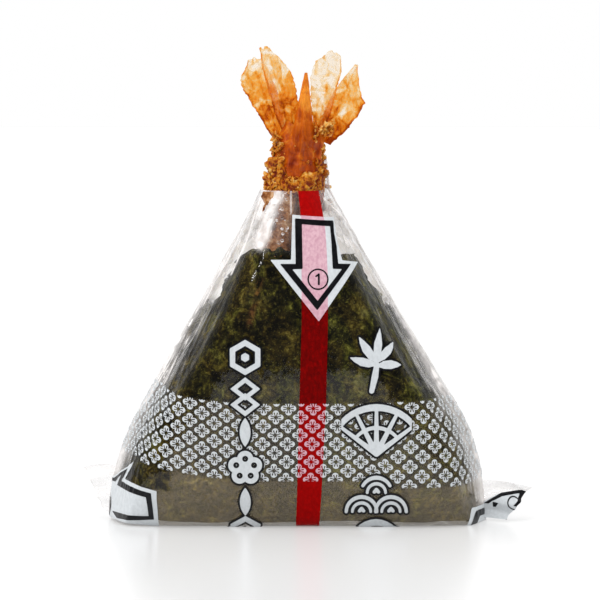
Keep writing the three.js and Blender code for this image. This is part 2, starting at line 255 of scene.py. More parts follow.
def unroll_table(turn_steps=1440):
    """For rows up the pack: the turns, and the length along the film from the front's middle to each."""
    heights = np.arange(0, HEIGHT + ROW_STEP / 2, ROW_STEP)
    turns = np.linspace(-180, 180, turn_steps + 1)
    x, y = pack_point(turns[None, :], heights[:, None])
    steps = np.hypot(np.diff(x, axis=1), np.diff(y, axis=1))
    lengths = np.concatenate([np.zeros((len(heights), 1)), np.cumsum(steps, axis=1)], axis=1)
    lengths -= lengths[:, turn_steps // 2][:, None]
    return heights, turns, lengths


ROW_HEIGHTS, TURNS, LENGTHS = unroll_table()
QUARTER = (len(TURNS) - 1) // 4
ROW_GAP = 1000.0  # keeps the rows apart in one rising list
FLAT_LENGTHS = (LENGTHS + ROW_GAP * np.arange(len(ROW_HEIGHTS))[:, None]).ravel()
FLAT_TURNS = np.tile(TURNS, len(ROW_HEIGHTS))


def row_at(z):
    """The unroll table's row below a height, and how far on towards the next one it is."""
    row = np.clip(z / ROW_STEP, 0, len(ROW_HEIGHTS) - 1.001)
    low = np.floor(row).astype(int)
    return low, row - low


def turn_at(s, z):
    """The turn at a length s along the film, at height z."""
    s, z = np.broadcast_arrays(np.asarray(s, float), np.asarray(z, float))
    low, share = row_at(z)
    found = []
    for r in (low, low + 1):
        inside = np.clip(s, LENGTHS[r, 0], LENGTHS[r, -1])
        found.append(np.interp(inside + ROW_GAP * r, FLAT_LENGTHS, FLAT_TURNS))
    return mix(*found, share)


def length_at(turn, z):
    """The length along the film at a turn, at height z."""
    turn, z = np.broadcast_arrays(np.asarray(turn, float), np.asarray(z, float))
    low, share = row_at(z)
    column = (turn + 180) / 360 * (len(TURNS) - 1)
    left = np.clip(np.floor(column).astype(int), 0, len(TURNS) - 2)
    lower, upper = (mix(LENGTHS[r, left], LENGTHS[r, left + 1], column - left) for r in (low, low + 1))
    return mix(lower, upper, share)


def turn_for_x(x, z):
    """The turn on the front where the film has this x, at one height z."""
    front = (TURNS > -90) & (TURNS < 90)
    edge, _ = pack_point(TURNS[front], np.full(front.sum(), float(z)))
    return np.interp(x, edge, TURNS[front])


def behind(turn):
    """The turn on the back right behind one on the front."""
    turn = 180 - turn
    return np.where(turn > 180, turn - 360, turn)


def from_ridge(turn):
    """How many degrees a turn is away from the ridge on its side."""
    return np.abs(np.abs(turn) - 90)


def crests(x, y, seed, sharpness=3):
    """Noise from 0 to 1 with thin bright crests."""
    return (1 - np.abs(value_noise(x, y, 0, seed))) ** sharpness


def wrinkles(turn, s, z):
    """Fine folds of the film, as a step outwards: long ones up the sides, puckers at the neck and base."""
    side = smooth_step((42 - from_ridge(turn)) / 30)
    long_folds = crests(turn / 4.5 + z * 0.02, z / 22, 3) + 0.6 * crests(turn / 2.6 - z * 0.03, z / 14, 5)
    broad = value_noise(s / 9, z / 12, 0, 11)
    crossing = value_noise(turn / 6 + z * 0.16, z / 6, 0, 8)
    calm = 0.035 * broad + 0.02 * value_noise(s / 3.2 + z * 0.35, z / 5 - s * 0.1, 0, 8)
    lively = 0.24 * (long_folds - 0.7) + 0.13 * crossing + 0.10 * broad
    neck = rise(z, 58, 18) * mix(1, 0.15, bell(turn, 0, 50.0, 4))
    puckers = neck * (0.22 * (crests(turn / 9, z / 20, 21) - 0.4) + 0.08 * crossing)
    base = 1 - rise(z, 0, 5)
    return calm + side * lively * rise(z, 0, 4) + puckers + 0.05 * base * crossing


def film_point(turn, z, out=0.0):
    """The film in 3D at a turn and a height, moved out along its normal. All arrays."""
    turn, z = np.broadcast_arrays(np.asarray(turn, float), np.asarray(z, float))

    def raw(t, h):
        s = length_at(np.clip(t, -180, 180), np.clip(h, 0, HEIGHT))
        x, y = pack_point(t, np.clip(h, 0, HEIGHT), -wrinkles(t, s, h))
        return np.stack([x, y, h + corner_lift(x, h)], axis=-1)

    point = raw(turn, z)
    if np.all(out == 0):
        return point
    step = 0.4
    around = raw(turn + step, z) - raw(turn - step, z)
    upwards = raw(turn, z + step) - raw(turn, z - step)
    return point + unit(np.cross(around, upwards)) * np.asarray(out)[..., None]


# ---------------------------------------------------------------- meshes


def mesh_piece(name, points, faces, material, attributes=None, smooth=True):
    """A Blender object from points in mm."""
    mesh = bpy.data.meshes.new(name)
    mesh.from_pydata((np.asarray(points, float) * MM).tolist(), [], faces)
    mesh.validate()
    for key, values in (attributes or {}).items():
        layer = mesh.attributes.new(key, "FLOAT", "POINT")
        layer.data.foreach_set("value", np.asarray(values, np.float32))
    mesh.polygons.foreach_set("use_smooth", [smooth] * len(mesh.polygons))
    mesh.materials.append(material)
    piece = bpy.data.objects.new(name, mesh)
    bpy.context.scene.collection.objects.link(piece)
    return piece


def make_piece(name, shape, slot, material, **attributes):
    """A piece of the pack from its points and faces, parented to the root body. Its slot is not used."""
    piece = mesh_piece(name, *shape, material, attributes)
    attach(piece, "root")
    return piece


def thicken(piece, thickness, offset):
    thick = piece.modifiers.new("thickness", "SOLIDIFY")
    thick.thickness = thickness * MM
    thick.offset = offset


def flipped(faces):
    return [face[::-1] for face in faces]


def grid_faces(rows, columns, closed=False):
    """Quads of a grid of points, row after row, with their fronts towards the outside of a ring."""
    faces = []
    for i in range(rows - 1):
        for j in range(columns if closed else columns - 1):
            a, b = i * columns + j, i * columns + (j + 1) % columns
            faces.append((a, b, b + columns, a + columns))
    return faces


def tube_faces(rows, columns):
    """The faces of a closed tube of rings, with a flat cap at both ends."""
    last = (rows - 1) * columns
    caps = [tuple(range(columns))[::-1], tuple(range(last, last + columns))]
    return grid_faces(rows, columns, closed=True) + caps


def round_turns(count):
    """Angles in radians once round, without the last, which is the first again."""
    return np.linspace(0, 2 * np.pi, count + 1)[:-1]


def stacked(x, y, z):
    """One list of points from grids of coordinates."""
    return np.stack([x, y, z], axis=-1).reshape(-1, 3)


def joined(parts):
    """One list of points and one of faces from several."""
    points, faces, start = [], [], 0
    for part_points, part_faces in parts:
        points.append(np.asarray(part_points, float))
        faces += [tuple(start + i for i in face) for face in part_faces]
        start += len(part_points)
    return np.concatenate(points), faces


# ---------------------------------------------------------------- materials


class Nodes:
    """Short names for building the nodes of a material or a world."""

    def __init__(self, owner, output="OutputMaterial"):
        self.owner = owner
        owner.use_nodes = True
        self.tree = owner.node_tree
        self.tree.nodes.clear()
        self.output = self.tree.nodes.new("ShaderNode" + output)

    def add(self, kind, inputs=None, output=0, **settings):
        """One output of a new node. Its inputs are other outputs or constants, colours as (r, g, b)."""
        node = self.tree.nodes.new("ShaderNode" + kind)
        for key, value in settings.items():
            setattr(node, key, value)
        for key, value in (inputs or {}).items():
            socket = node.inputs[key]
            if isinstance(value, bpy.types.NodeSocket):
                self.tree.links.new(value, socket)
            else:
                socket.default_value = (*value, 1) if socket.type == "RGBA" else value
        return node.outputs[output]

    def place(self):
        return self.add("TexCoord", output="Object")

    def axis(self, letter):
        return self.add("SeparateXYZ", {"Vector": self.place()}, letter)

    def attribute(self, name):
        return self.add("Attribute", output="Fac", attribute_name=name)

    def upright(self, share):
        """The place with its height scaled down, which draws a noise out upwards."""
        return self.add("Mapping", {"Vector": self.place(), "Scale": (1.0, 1.0, share)})

    def noise(self, scale, detail=4.0, roughness=0.55, distortion=0.0, vector=None):
        inputs = {"Scale": scale, "Detail": detail, "Roughness": roughness, "Distortion": distortion}
        inputs["Vector"] = self.place() if vector is None else vector
        return self.add("TexNoise", inputs, "Fac")

    def ramp(self, value, *stops):
        colour = self.add("ValToRGB", {"Fac": value})
        elements = colour.node.color_ramp.elements
        while len(elements) < len(stops):
            elements.new(0.5)
        for element, (position, shade) in zip(elements, stops):
            element.position = position
            element.color = (*shade, 1)
        return colour

    def math(self, operation, a, b=None, clamp=False):
        return self.add("Math", {0: a} if b is None else {0: a, 1: b}, operation=operation, use_clamp=clamp)

    def times(self, a, b, clamp=False):
        return self.math("MULTIPLY", a, b, clamp)

    def plus(self, first, *others, clamp=False):
        """The sum of all, from the left. Only the last sum is clamped."""
        for count, other in enumerate(others, 1):
            first = self.math("ADD", first, other, clamp and count == len(others))
        return first

    def crest(self, value, power):
        """1 where a value is half, and less on both sides."""
        away = self.math("ABSOLUTE", self.math("SUBTRACT", self.times(value, 2.0), 1.0))
        return self.math("POWER", self.math("SUBTRACT", 1.0, away), power)

    def level(self, value, low, high, to_low=0.0, to_high=1.0, **settings):
        inputs = {"Value": value, "From Min": low, "From Max": high, "To Min": to_low, "To Max": to_high}
        return self.add("MapRange", inputs, **settings)

    def blend(self, fac, a, b):
        return self.add("Mix", {"Factor": fac, 6: a, 7: b}, 2, data_type="RGBA")

    def bumps(self, *layers):
        """The normal of bumps laid over one another, each with its height, strength and distance."""
        normal = {}
        for height, strength, distance in layers:
            inputs = {"Height": height, "Strength": strength, "Distance": distance, **normal}
            normal = {"Normal": self.add("Bump", inputs)}
        return normal["Normal"]

    def diffuse(self, colour):
        return self.add("BsdfDiffuse", {"Color": colour})

    def clear(self, colour):
        return self.add("BsdfTransparent", {"Color": colour})

    def skin(self, colour, roughness, normal, specular=0.5, **more):
        inputs = {"Base Color": colour, "Roughness": roughness, "Normal": normal}
        return self.add("BsdfPrincipled", {**inputs, "Specular IOR Level": specular, **more})

    def glowing_skin(self, share, colour, roughness, normal, specular):
        """A skin that lets a share of the light through in its own colour."""
        glow = self.add("BsdfTranslucent", {"Color": colour, "Normal": normal})
        return self.mix_shaders(share, self.skin(colour, roughness, normal, specular), glow)

    def mix_shaders(self, fac, a, b):
        return self.add("MixShader", {0: fac, 1: a, 2: b})

    def done(self, shader):
        self.tree.links.new(shader, self.output.inputs["Surface"])
        return self.owner


def new_material(name):
    return Nodes(bpy.data.materials.new(name))


def film_material():
    """Clear film, milky where it is gathered, with painted highlights (pale lines and glints) and painted dark
    reflections along its crinkles, and warm where its label is printed.
    """
    n = new_material("clear_film")
    across, climb = n.times(n.attribute("around"), 0.001), n.times(n.axis("Z"), 0.12)
    up_the_folds = n.add("CombineXYZ", {"X": across, "Y": climb, "Z": 0.0})
    streak = n.attribute("streak")

    def thin_lines(scale, power):
        return n.crest(n.noise(scale, 3, 0.5, 0.5, up_the_folds), power)

    # Painted highlights: thin pale lines up the folds and small glints, where the film's streaks show.
    lines = n.math("MAXIMUM", thin_lines(240, 22.0), n.times(thin_lines(640, 16.0), 0.5))
    lines = n.times(lines, n.level(n.noise(170, 2, 0.5, 0.3), 0.45, 0.58))
    glints = n.level(n.noise(620, 2, 0.5, 1.2, n.upright(0.45)), 0.645, 0.68)
    glints = n.times(glints, n.level(n.noise(120, 2), 0.45, 0.60))
    lines = n.times(n.math("MAXIMUM", lines, glints), streak)
    coarse = n.noise(260, 2, 0.5, 0.6, n.upright(0.5))
    fine = n.times(n.noise(900, 3, 0.6, 0.4, up_the_folds), streak)
    normal = n.bumps((coarse, 0.30, 0.0010), (fine, 0.4, 0.0008))
    gloss = n.add("BsdfGlossy", {"Color": (1, 1, 1), "Roughness": 0.08, "Normal": normal})
    # Painted dark reflections: the clear film greyed along thin lines where its streaks show.
    painted_dark_streaks = n.times(thin_lines(380, 9.0), n.times(streak, 0.42))
    clear = n.clear(n.blend(painted_dark_streaks, (0.985, 0.982, 0.984), (0.50, 0.49, 0.48)))
    inside = n.add("NewGeometry", output="Backfacing")
    outer_shine, inner_shine = (n.add("Fresnel", {"IOR": ior, "Normal": normal}) for ior in (1.45, 0.69))
    shine = n.plus(n.times(outer_shine, n.math("SUBTRACT", 1.0, inside)), n.times(inner_shine, inside))
    scuffs = n.level(n.noise(900, 4, 0.7, 1.0), 0.35, 0.65, 0.6, 1.45)
    label = n.times(n.attribute("label"), scuffs, clamp=True)
    body = n.mix_shaders(label, clear, n.diffuse((0.84, 0.67, 0.42)))
    cloud = n.level(n.noise(420, 4, 0.6), 0.35, 0.65, 0.75, 1.25)
    # The milky white: the film's own haze, with painted sheen, painted highlights on folds, and the painted pale
    # lines and glints.
    milk = n.plus(n.times(n.attribute("milk"), cloud), n.times(lines, 0.85), clamp=True)
    body = n.mix_shaders(milk, body, n.diffuse((0.90, 0.86, 0.84)))
    return n.done(n.mix_shaders(shine, body, gloss))


def nori_material():
    """A dried seaweed sheet: blotched from near black through olive to yellow green, with brown places."""
    n = new_material("nori_sheet")
    patches = n.noise(125, 3, 0.6, 0.6)
    mottle = n.noise(400, 6, 0.74, 0.8)
    blobs = n.noise(1150, 3, 0.6, 0.5)
    hue = n.noise(150, 3, 0.6, 0.8, n.upright(0.6))
    fibres = n.noise(900, 3, 0.7, 1.4, n.upright(0.25))
    across = n.axis("X")
    tone = n.plus(n.times(mottle, 0.50), n.times(blobs, 0.22), n.times(patches, 0.28),
                  n.level(across, -0.004, 0.012, 0.0, 0.014))
    green = n.ramp(tone, (0.44, (0.0012, 0.0012, 0.0002)), (0.50, (0.011, 0.0105, 0.0007)),
                   (0.56, (0.060, 0.058, 0.0045)), (0.64, (0.23, 0.225, 0.035)))
    brown = n.ramp(tone, (0.44, (0.0018, 0.0013, 0.0003)), (0.50, (0.021, 0.014, 0.0010)),
                   (0.56, (0.078, 0.056, 0.0050)), (0.64, (0.24, 0.19, 0.040)))
    browning = n.plus(n.level(hue, 0.42, 0.58), n.level(across, -0.025, 0.02, 0.35, -0.2), clamp=True)
    colour = n.blend(browning, green, brown)
    pale = n.ramp(fibres, (0.45, (0.05, 0.047, 0.014)), (0.62, (0.16, 0.152, 0.055)),
                  (0.75, (0.34, 0.33, 0.17)))
    paling = n.times(n.level(patches, 0.56, 0.72, 0.0, 0.5), n.level(across, -0.02, 0.012, 0.35, 1.0))
    colour = n.blend(paling, colour, pale)
    flecks = n.level(n.noise(1900, 3, 0.7, 0.3), 0.60, 0.74, 0.0, 0.7)
    colour = n.blend(flecks, colour, (0.25, 0.225, 0.045))
    rust = n.times(n.attribute("rust"), n.level(mottle, 0.42, 0.58), clamp=True)
    colour = n.blend(rust, colour, (0.20, 0.075, 0.020))
    normal = n.bumps((mottle, 0.8, 0.0006), (blobs, 0.7, 0.0004))
    return n.done(n.skin(colour, 0.45, normal, 0.15))


def rice_material():
    """Cooked rice: moist and white, and light shines a little way into it."""
    n = new_material("rice_grain")
    colour = n.ramp(n.noise(500, 3), (0.35, (0.78, 0.74, 0.69)), (0.6, (0.89, 0.87, 0.84)))
    normal = n.bumps((n.noise(1500, 2), 0.3, 0.0002))
    depth = {"Subsurface Weight": 0.25, "Subsurface Radius": (0.002, 0.0018, 0.0014), "Subsurface Scale": 0.6}
    return n.done(n.skin(colour, 0.38, normal, **depth))


def print_material(name, dark, light):
    """Ink on film: an even tone with the fine grain of the press, and the film's own gloss."""
    n = new_material(name)
    grain = n.noise(1400, 3, 0.6, 0.2, n.upright(0.7))
    tone = n.ramp(grain, (0.35, dark), (0.65, light))
    return n.done(n.skin(tone, 0.32, n.bumps((n.noise(500, 2), 0.12, 0.0004)), 0.2))


def strip_material():
    """The red strip: brighter over the band, the label and the rice, deep over the bare nori."""
    n = new_material("red_strip")
    weave = n.noise(1300, 4, 0.65, 0.1, n.upright(0.7))
    bright = n.ramp(weave, (0.3, (0.38, 0.0, 0.0)), (0.7, (0.52, 0.001, 0.001)))
    deep = n.ramp(weave, (0.3, (0.045, 0.0, 0.0)), (0.52, (0.095, 0.0, 0.0)), (0.7, (0.19, 0.0, 0.0)))
    colour = n.blend(n.attribute("over_print"), deep, bright)
    return n.done(n.skin(colour, 0.45, n.bumps((weave, 0.25, 0.0002)), 0.04))


def batter_material(name, *colours):
    """Fried crumbs that glow where they are thin, with painted light and shade: golden on the peaks, deep amber
    in the gaps between them.
    """
    n = new_material(name)
    patches = n.noise(420, 4, 0.62, 0.5)
    grain = n.noise(1700, 4, 0.68)
    across = n.math("ABSOLUTE", n.axis("X"))
    # The tone: painted light and shade from how far a point stands out, random patches and grain, and darker
    # across the middle of the front.
    height = n.plus(n.times(n.attribute("outer"), 0.62), n.level(patches, 0.3, 0.7, -0.22, 0.34),
                    n.level(across, 0.004, 0.0085, -0.12, 0.02), n.level(grain, 0.35, 0.65, -0.12, 0.12))
    colour = n.ramp(n.level(height, 0.17, 0.82), *zip((0.04, 0.28, 0.56, 0.90), colours))
    return n.done(n.glowing_skin(0.42, colour, 0.34, n.bumps((grain, 0.6, 0.0003)), 0.5))


def shell_material():
    """A fried prawn's shell: amber to clear cream, part see-through, with veins and a glossy skin."""
    n = new_material("prawn_shell")
    blotches = n.noise(270, 5, 0.62, 1.2)
    fine = n.noise(1300, 4, 0.65, 0.6)
    streaks = n.noise(620, 4, 0.62, 0.9, n.upright(0.30))
    cells = n.add("TexVoronoi", {"Vector": n.place(), "Scale": 620.0}, feature="DISTANCE_TO_EDGE")
    vein = n.times(n.level(cells, 0.02, 0.09, 0.16, 0.0), n.level(blotches, 0.42, 0.58))
    creases = n.times(n.crest(blotches, 18.0), 0.18)
    amber = n.plus(n.attribute("amber"), n.level(blotches, 0.32, 0.68, -0.30, 0.26),
                   n.level(fine, 0.35, 0.65, -0.05, 0.05), n.level(streaks, 0.42, 0.66, -0.10, 0.20),
                   n.plus(vein, creases), clamp=True)
    colour = n.ramp(amber, (0.0, (0.96, 0.88, 0.77)), (0.25, (0.95, 0.73, 0.43)), (0.50, (0.94, 0.53, 0.115)),
                    (0.76, (0.89, 0.35, 0.014)), (1.0, (0.54, 0.12, 0.002)))
    normal = n.bumps((streaks, 0.6, 0.0006), (blotches, 0.7, 0.0010), (fine, 0.5, 0.0003))
    solid = n.glowing_skin(0.62, colour, 0.2, normal, 0.55)
    clear = n.clear(n.add("Gamma", {"Color": colour, "Gamma": 0.6}))
    return n.done(n.mix_shaders(n.level(amber, 0.0, 0.9, 0.80, 0.22), solid, clear))


def body_material(name, *colours):
    """The prawn's own shell where it is thick: streaked along its length and wet-looking."""
    n = new_material(name)
    streaks = n.noise(500, 4, 0.62, 0.4, n.upright(0.22))
    blotches = n.noise(380, 3, 0.6, 0.6)
    tone = n.plus(n.times(streaks, 0.5), n.times(blotches, 0.5),
                  n.level(n.attribute("pale"), 0.0, 1.0, -0.10, 0.12))
    colour = n.ramp(tone, *zip((0.34, 0.50, 0.68), colours))
    normal = n.bumps((streaks, 0.55, 0.0006), (blotches, 0.5, 0.0008))
    return n.done(n.glowing_skin(0.25, colour, 0.24, normal, 0.4))


def droplet_material():
    """A clear drop with a painted pale rim and painted white specks as its highlights."""
    n = new_material("droplets")
    painted_specks = n.level(n.noise(1400, 2), 0.45, 0.60, 0.0, 0.5)
    # The pale rim and the specks are painted highlights.
    edge = n.level(n.add("LayerWeight", {"Blend": 0.35}, "Facing"), 0.35, 0.9, 0.0, 0.75)
    clear, rim = n.clear((0.98, 0.97, 0.96)), n.diffuse((0.95, 0.94, 0.93))
    return n.done(n.mix_shaders(n.math("MAXIMUM", edge, painted_specks), clear, rim))


# ---------------------------------------------------------------- the film


def film_columns(wrinkled=104, calm=40):
    """Shares of the way round, from -1 at the back's left to 1 at its right, closest on the sides."""
    spans = ((0, 0.24, calm), (0.24, 0.76, wrinkled), (0.76, 1.0, calm))
    right = np.concatenate([np.linspace(start, end, count, endpoint=False) for start, end, count in spans])
    left = -np.concatenate([right[1:], [1.0]])[::-1]
    return np.concatenate([left, right])


def label_amount(s, z):
    """The warm veil of the label: light in the band, stronger below it, none at the left corner."""
    level = z - print_shift(s, np.clip(z, BAND_LOW, BAND_HIGH))
    veil = mix(0.112 - 0.014 * rise(s, -25, 25), 0.04, rise(level, BAND_LOW - 0.2, 0.4))
    torn = 0.9 * value_noise(z / 1.6, s / 1.6, 0, 18)
    corner = rise(torn - s, 31.0, 0.5) * rise(z + torn, 8.8, 0.5)
    return veil * (1 - rise(level, BAND_HIGH - 0.2, 0.4)) * (1 - corner)


def milk_and_sheen_amount(s, z, turn):
    """How milky the film is, and where a sheen is painted into it: milky with a painted sheen along the ridges, a
    painted sheen round the neck and left of the strip, and painted highlights on the folds that catch the light.
    """
    ridge = from_ridge(turn)
    broad = 0.5 + 0.5 * value_noise(turn / 5, z / 12, 0, 17)
    # Along the ridges the film is partly milky and partly given a painted sheen.
    side = smooth_step((17 - ridge) / 15) * np.where(turn > 0, 1.3, 1.0)
    sides = side * (0.20 + 0.42 * broad) * mix(0.6, 1, rise(z, 10, 14))
    sides = sides + 0.2 * smooth_step((11 - ridge) / 10) * (1 - rise(z, 46, 12))
    # Round the neck, most right of the strip: a painted sheen.
    neck = rise(z, 66, 6) * (0.03 + 0.09 * broad) * mix(1.0, 1.8, rise(s, 0, 4))
    haze = 0.08 * bell(s, -29, 3.0) * bell(z, 52, 7) * (0.5 + 0.6 * broad)
    uneven = 0.75 + 0.35 * value_noise(s / 0.9, z / 1.6, 0, 19)
    # Left of the strip: a painted white sheen.
    glare = 0.95 * bell(line_distance(GLARE, s, z), 0, 1.9, 3) * uneven
    x = pack_point(turn, z)[0]
    # On the folds: painted highlights.
    folds = [strong * bell(line_distance(points, x, z), 0, wide) for points, strong, wide in FOLD_HIGHLIGHTS]
    folds = np.max(folds, axis=0) * (np.abs(turn) < 90)
    return np.clip(np.maximum(sides + neck + haze + glare, folds), 0, 0.95)


def painted_streak_amount(turn, z):
    """Where the film shows crisp painted streaks, pale highlights and dark reflections: on the sides above the
    band, and round the neck.
    """
    side = smooth_step((27 - from_ridge(turn)) / 14) * mix(0.3, 1, rise(z, 24, 10))
    neck = rise(z, 60, 10) * rise(np.abs(turn), 35, 20)
    return np.clip(np.maximum(side, 0.8 * neck), 0, 1)


def film_shell(rows=210, base_rows=14):
    """The wrapper's base, from near its middle out to the edge, and its wall from there up to the neck."""
    shares = film_columns()
    columns = len(shares)
    up = np.linspace(0, 1, rows)
    heights = HEIGHT * mix(up**1.7, up, smooth_step(up * 3))
    half_round = np.interp(heights, ROW_HEIGHTS, LENGTHS[:, -1])
    s = shares[None, :] * half_round[:, None]
    z = np.repeat(heights[:, None], columns, axis=1)
    turn = turn_at(s, z)
    wall = film_point(turn, z)
    base = []
    for share in np.linspace(0.04, 0.97, base_rows):
        ring = wall[0] * share
        ring[:, 2] += 0.05 * (1 - share) * (1 + value_noise(ring[:, 0] / 6, ring[:, 1] / 6, 0, 4))
        base.append(ring)
    points = np.concatenate([*base, wall.reshape(-1, 3)])
    faces = grid_faces(base_rows + rows, columns, closed=True)
    faces.append(tuple(range(columns))[::-1])

    def look(below, on_wall):
        return np.concatenate([np.full(base_rows * columns, below), on_wall.ravel()])

    around = np.concatenate([np.tile(turn[0], base_rows), turn.ravel()]) * 0.5
    looks = dict(milk=look(0.03, milk_and_sheen_amount(s, z, turn)), streak=look(0.0, painted_streak_amount(turn, z)),
                 around=around, label=look(0.1, label_amount(s, z)))
    return points, faces, looks


def ear_spread(shape, out, up):
    """An ear's reach from the middle, and height, at shares of the way out and up."""
    reach = mix(EAR_ROOT, mix(shape["low_reach"], shape["high_reach"], up), out)
    low = mix(shape["root_low"], shape["low_height"], out)
    high = mix(shape["root_high"], shape["high_height"], out) + shape["crown"] * np.sin(np.pi * out)
    return reach, mix(low, high, up)


def ear_point(shape, out, up, forward=0.0):
    side = shape["side"]
    reach, z = ear_spread(shape, out, up)
    pleat = shape["pleat_depth"] * out * np.sin(2 * np.pi * shape["pleats"] * up)
    fine = 0.28 * out * value_noise(up * 14, out * 2, 0, 40 + side)
    y = mix(shape["low_back"], shape["high_back"], up) + pleat + fine + shape["sweep"] * out**2 - forward
    edge = 0.35 * rise(out, 0.8, 0.2) * value_noise(up * 9, 0, 0, 50 + side)
    return np.stack([side * (reach + edge), y, z], axis=-1)


def film_flap(points, faces, milk, streak, around):
    """A flap of film beyond the shell, and the looks of its points."""
    size = milk.size
    looks = dict(milk=milk.ravel(), streak=np.full(size, streak), around=around.ravel(), label=np.zeros(size))
    return points.reshape(-1, 3), faces, looks


def film_ear(shape, rows=60, columns=44):
    out, up = np.meshgrid(np.linspace(0, 1, columns), np.linspace(0, 1, rows))
    milk = 0.16 + 0.22 * crests(up * 7, out * 0.8, 45) + 0.1 * (1 - out) + 0.35 * rise(out, 0.96, 0.04)
    return film_flap(ear_point(shape, out, up), grid_faces(rows, columns), milk, 0.25, up * 20 + 3)


def peak_height(angle):
    bump = bell(angle, PEAK["top_angle"], PEAK["spread"])
    start = rise(angle, PEAK["start"], PEAK["fade_in"])
    end = smooth_step((PEAK["end"] - angle) / PEAK["fade_out"])
    return mix(HEIGHT, mix(PEAK["back"], PEAK["top"], bump), start * end)


def film_peak(rows=26, columns=120):
    """The film's peak behind the tail. Its angle runs round the neck from +X."""
    angle = np.linspace(PEAK["start"], PEAK["end"], columns)
    share = np.linspace(0, 1, rows)[:, None]
    z = mix(HEIGHT, peak_height(angle)[None, :], share)
    rim = film_point(angle + 90, np.full(columns, HEIGHT))
    size = np.hypot(rim[:, 0], rim[:, 1])
    fold = 0.12 * value_noise(angle / 7, z / 9, 0, 61) * rise(z, HEIGHT, 2)
    scale = (size - PEAK["lean"] * (z - HEIGHT) + fold) / size
    milk = 0.07 + 0.14 * np.clip(value_noise(angle / 5, z / 12, 0, 63), 0, 1) + 0.25 * rise(share, 0.95, 0.05)
    around = np.broadcast_to(angle * 0.5 + 45, milk.shape)
    points = stacked(rim[:, 0] * scale, rim[:, 1] * scale, z)
    return film_flap(points, grid_faces(rows, columns), milk, 0.7, around)


def make_film():
    parts = [film_shell(), film_ear(LEFT_EAR), film_ear(RIGHT_EAR), film_peak()]
    looks = {key: np.concatenate([looks[key] for _, _, looks in parts]) for key in parts[0][2]}
    piece = make_piece("film_wrapper", joined([part[:2] for part in parts]), "film", film_material(), **looks)
    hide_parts("film_pack")


# ---------------------------------------------------------------- nori and rice

NORI_COLUMNS = 150


def nori_panel(front):
    """One face of the nori, from the base up to its ragged top edge."""
    rows, seed = (150, 75) if front else (90, 85)
    points = []
    for height in mix(NORI_FOOT, PANEL_TOP, np.linspace(0, 1, rows)):
        edge = 0.5 * value_noise(height / 2.5, 0, 0, 71) + 0.3 * value_noise(height / 0.8, 0, 0, 72)
        left = -half_width(LEFT_SIDE, height) + by_height(NORI_LEFT_INSET, height)
        right = half_width(RIGHT_SIDE, height) - by_height(NORI_RIGHT_INSET, height)
        ends = length_at(turn_for_x(np.array([left, right]) + edge, height), height)
        turn = turn_at(mix(*ends, np.linspace(0, 1, NORI_COLUMNS)), height)
        x, _ = pack_point(turn, height)
        ragged = 0.6 * value_noise(x / 2.2, 0, 0, seed) + 0.45 * value_noise(x / 0.7, 0, 0, seed + 1)
        z = np.minimum(height, by_height(NORI_TOP, x) + ragged)
        crinkle = 0.22 * fractal(x / 7, z / 7, 0, seed + 2)
        points.append(film_point(turn, z, -(FILM_GAP + crinkle + 0.1)))
    points, faces = np.concatenate(points), grid_faces(rows, NORI_COLUMNS)
    return (points, faces) if front else (points * (1, -1, 1), flipped(faces))


def nori_side(side, rows=80, columns=40):
    """The nori's flap round one slanted side, from the front panel's edge to the back's."""
    table, shape = (NORI_LEFT_INSET, LEFT_SIDE) if side < 0 else (NORI_RIGHT_INSET, RIGHT_SIDE)
    points = []
    for height in mix(NORI_FOOT, FLAP_TOP, np.linspace(0, 1, rows)):
        edge = side * (half_width(shape, height) - by_height(table, height) - 0.8)
        start = turn_for_x(edge, height)
        turn = np.linspace(start, side * 180 - start, columns)
        top = FLAP_EDGE + 0.9 * value_noise(turn / 9, side, 0, 95) + 0.5 * value_noise(turn / 3, side, 0, 96)
        z = np.minimum(height, top)
        crinkle = 0.2 * fractal(turn / 12, z / 7, side, 97)
        points.append(film_point(turn, z, -(FILM_GAP + 0.25 + crinkle)))
    faces = grid_faces(rows, columns)
    return np.concatenate(points), flipped(faces) if side < 0 else faces


def nori_base(front, back, rows=12):
    """The nori under the rice, from the back panel's foot to the front's."""
    share = np.linspace(0, 1, rows)[:, None, None]
    under = mix(back[None, :NORI_COLUMNS], front[None, :NORI_COLUMNS], share)
    under[..., 2] -= 0.45 * np.sin(np.pi * share[..., 0]) ** 0.4
    return under.reshape(-1, 3), grid_faces(rows, NORI_COLUMNS)


def make_nori():
    front, back = nori_panel(True), nori_panel(False)
    points, faces = joined([front, back, nori_base(front[0], back[0]), nori_side(-1), nori_side(1)])
    faces = [f for f in faces if len(set(map(tuple, np.round(points[list(f)], 4)))) > 2]
    x, y, z = points.T
    rust = bell(x + 9.5 + 0.25 * (60 - z) + 0.3 * value_noise(z / 2, 0, 0, 98), 0, 0.6)
    rust *= 0.75 * rise(z, 48.5, 3) * smooth_step((62 - z) / 2) * (y < 0)
    piece = make_piece("nori_sheet", (points, faces), "nori", nori_material(), rust=rust)
    weld = piece.modifiers.new("weld", "WELD")
    weld.merge_threshold = 0.00001
    thicken(piece, NORI_THICK, -1)


def rice_inset(turn, z):
    """How far in from the film the rice lies: deeper behind the nori, and where the prawn comes forward."""
    behind_nori = rise(from_ridge(turn), 16, 14) * (1 - rise(z, 60, 6))
    prawn = bell(turn, -20, 24.0) * rise(z, 64, 5)
    below_flap = 1.4 * (1 - behind_nori) * (1 - rise(z, 54, 2))
    return RICE_GAP + 2.2 * behind_nori + below_flap + 6.0 * prawn


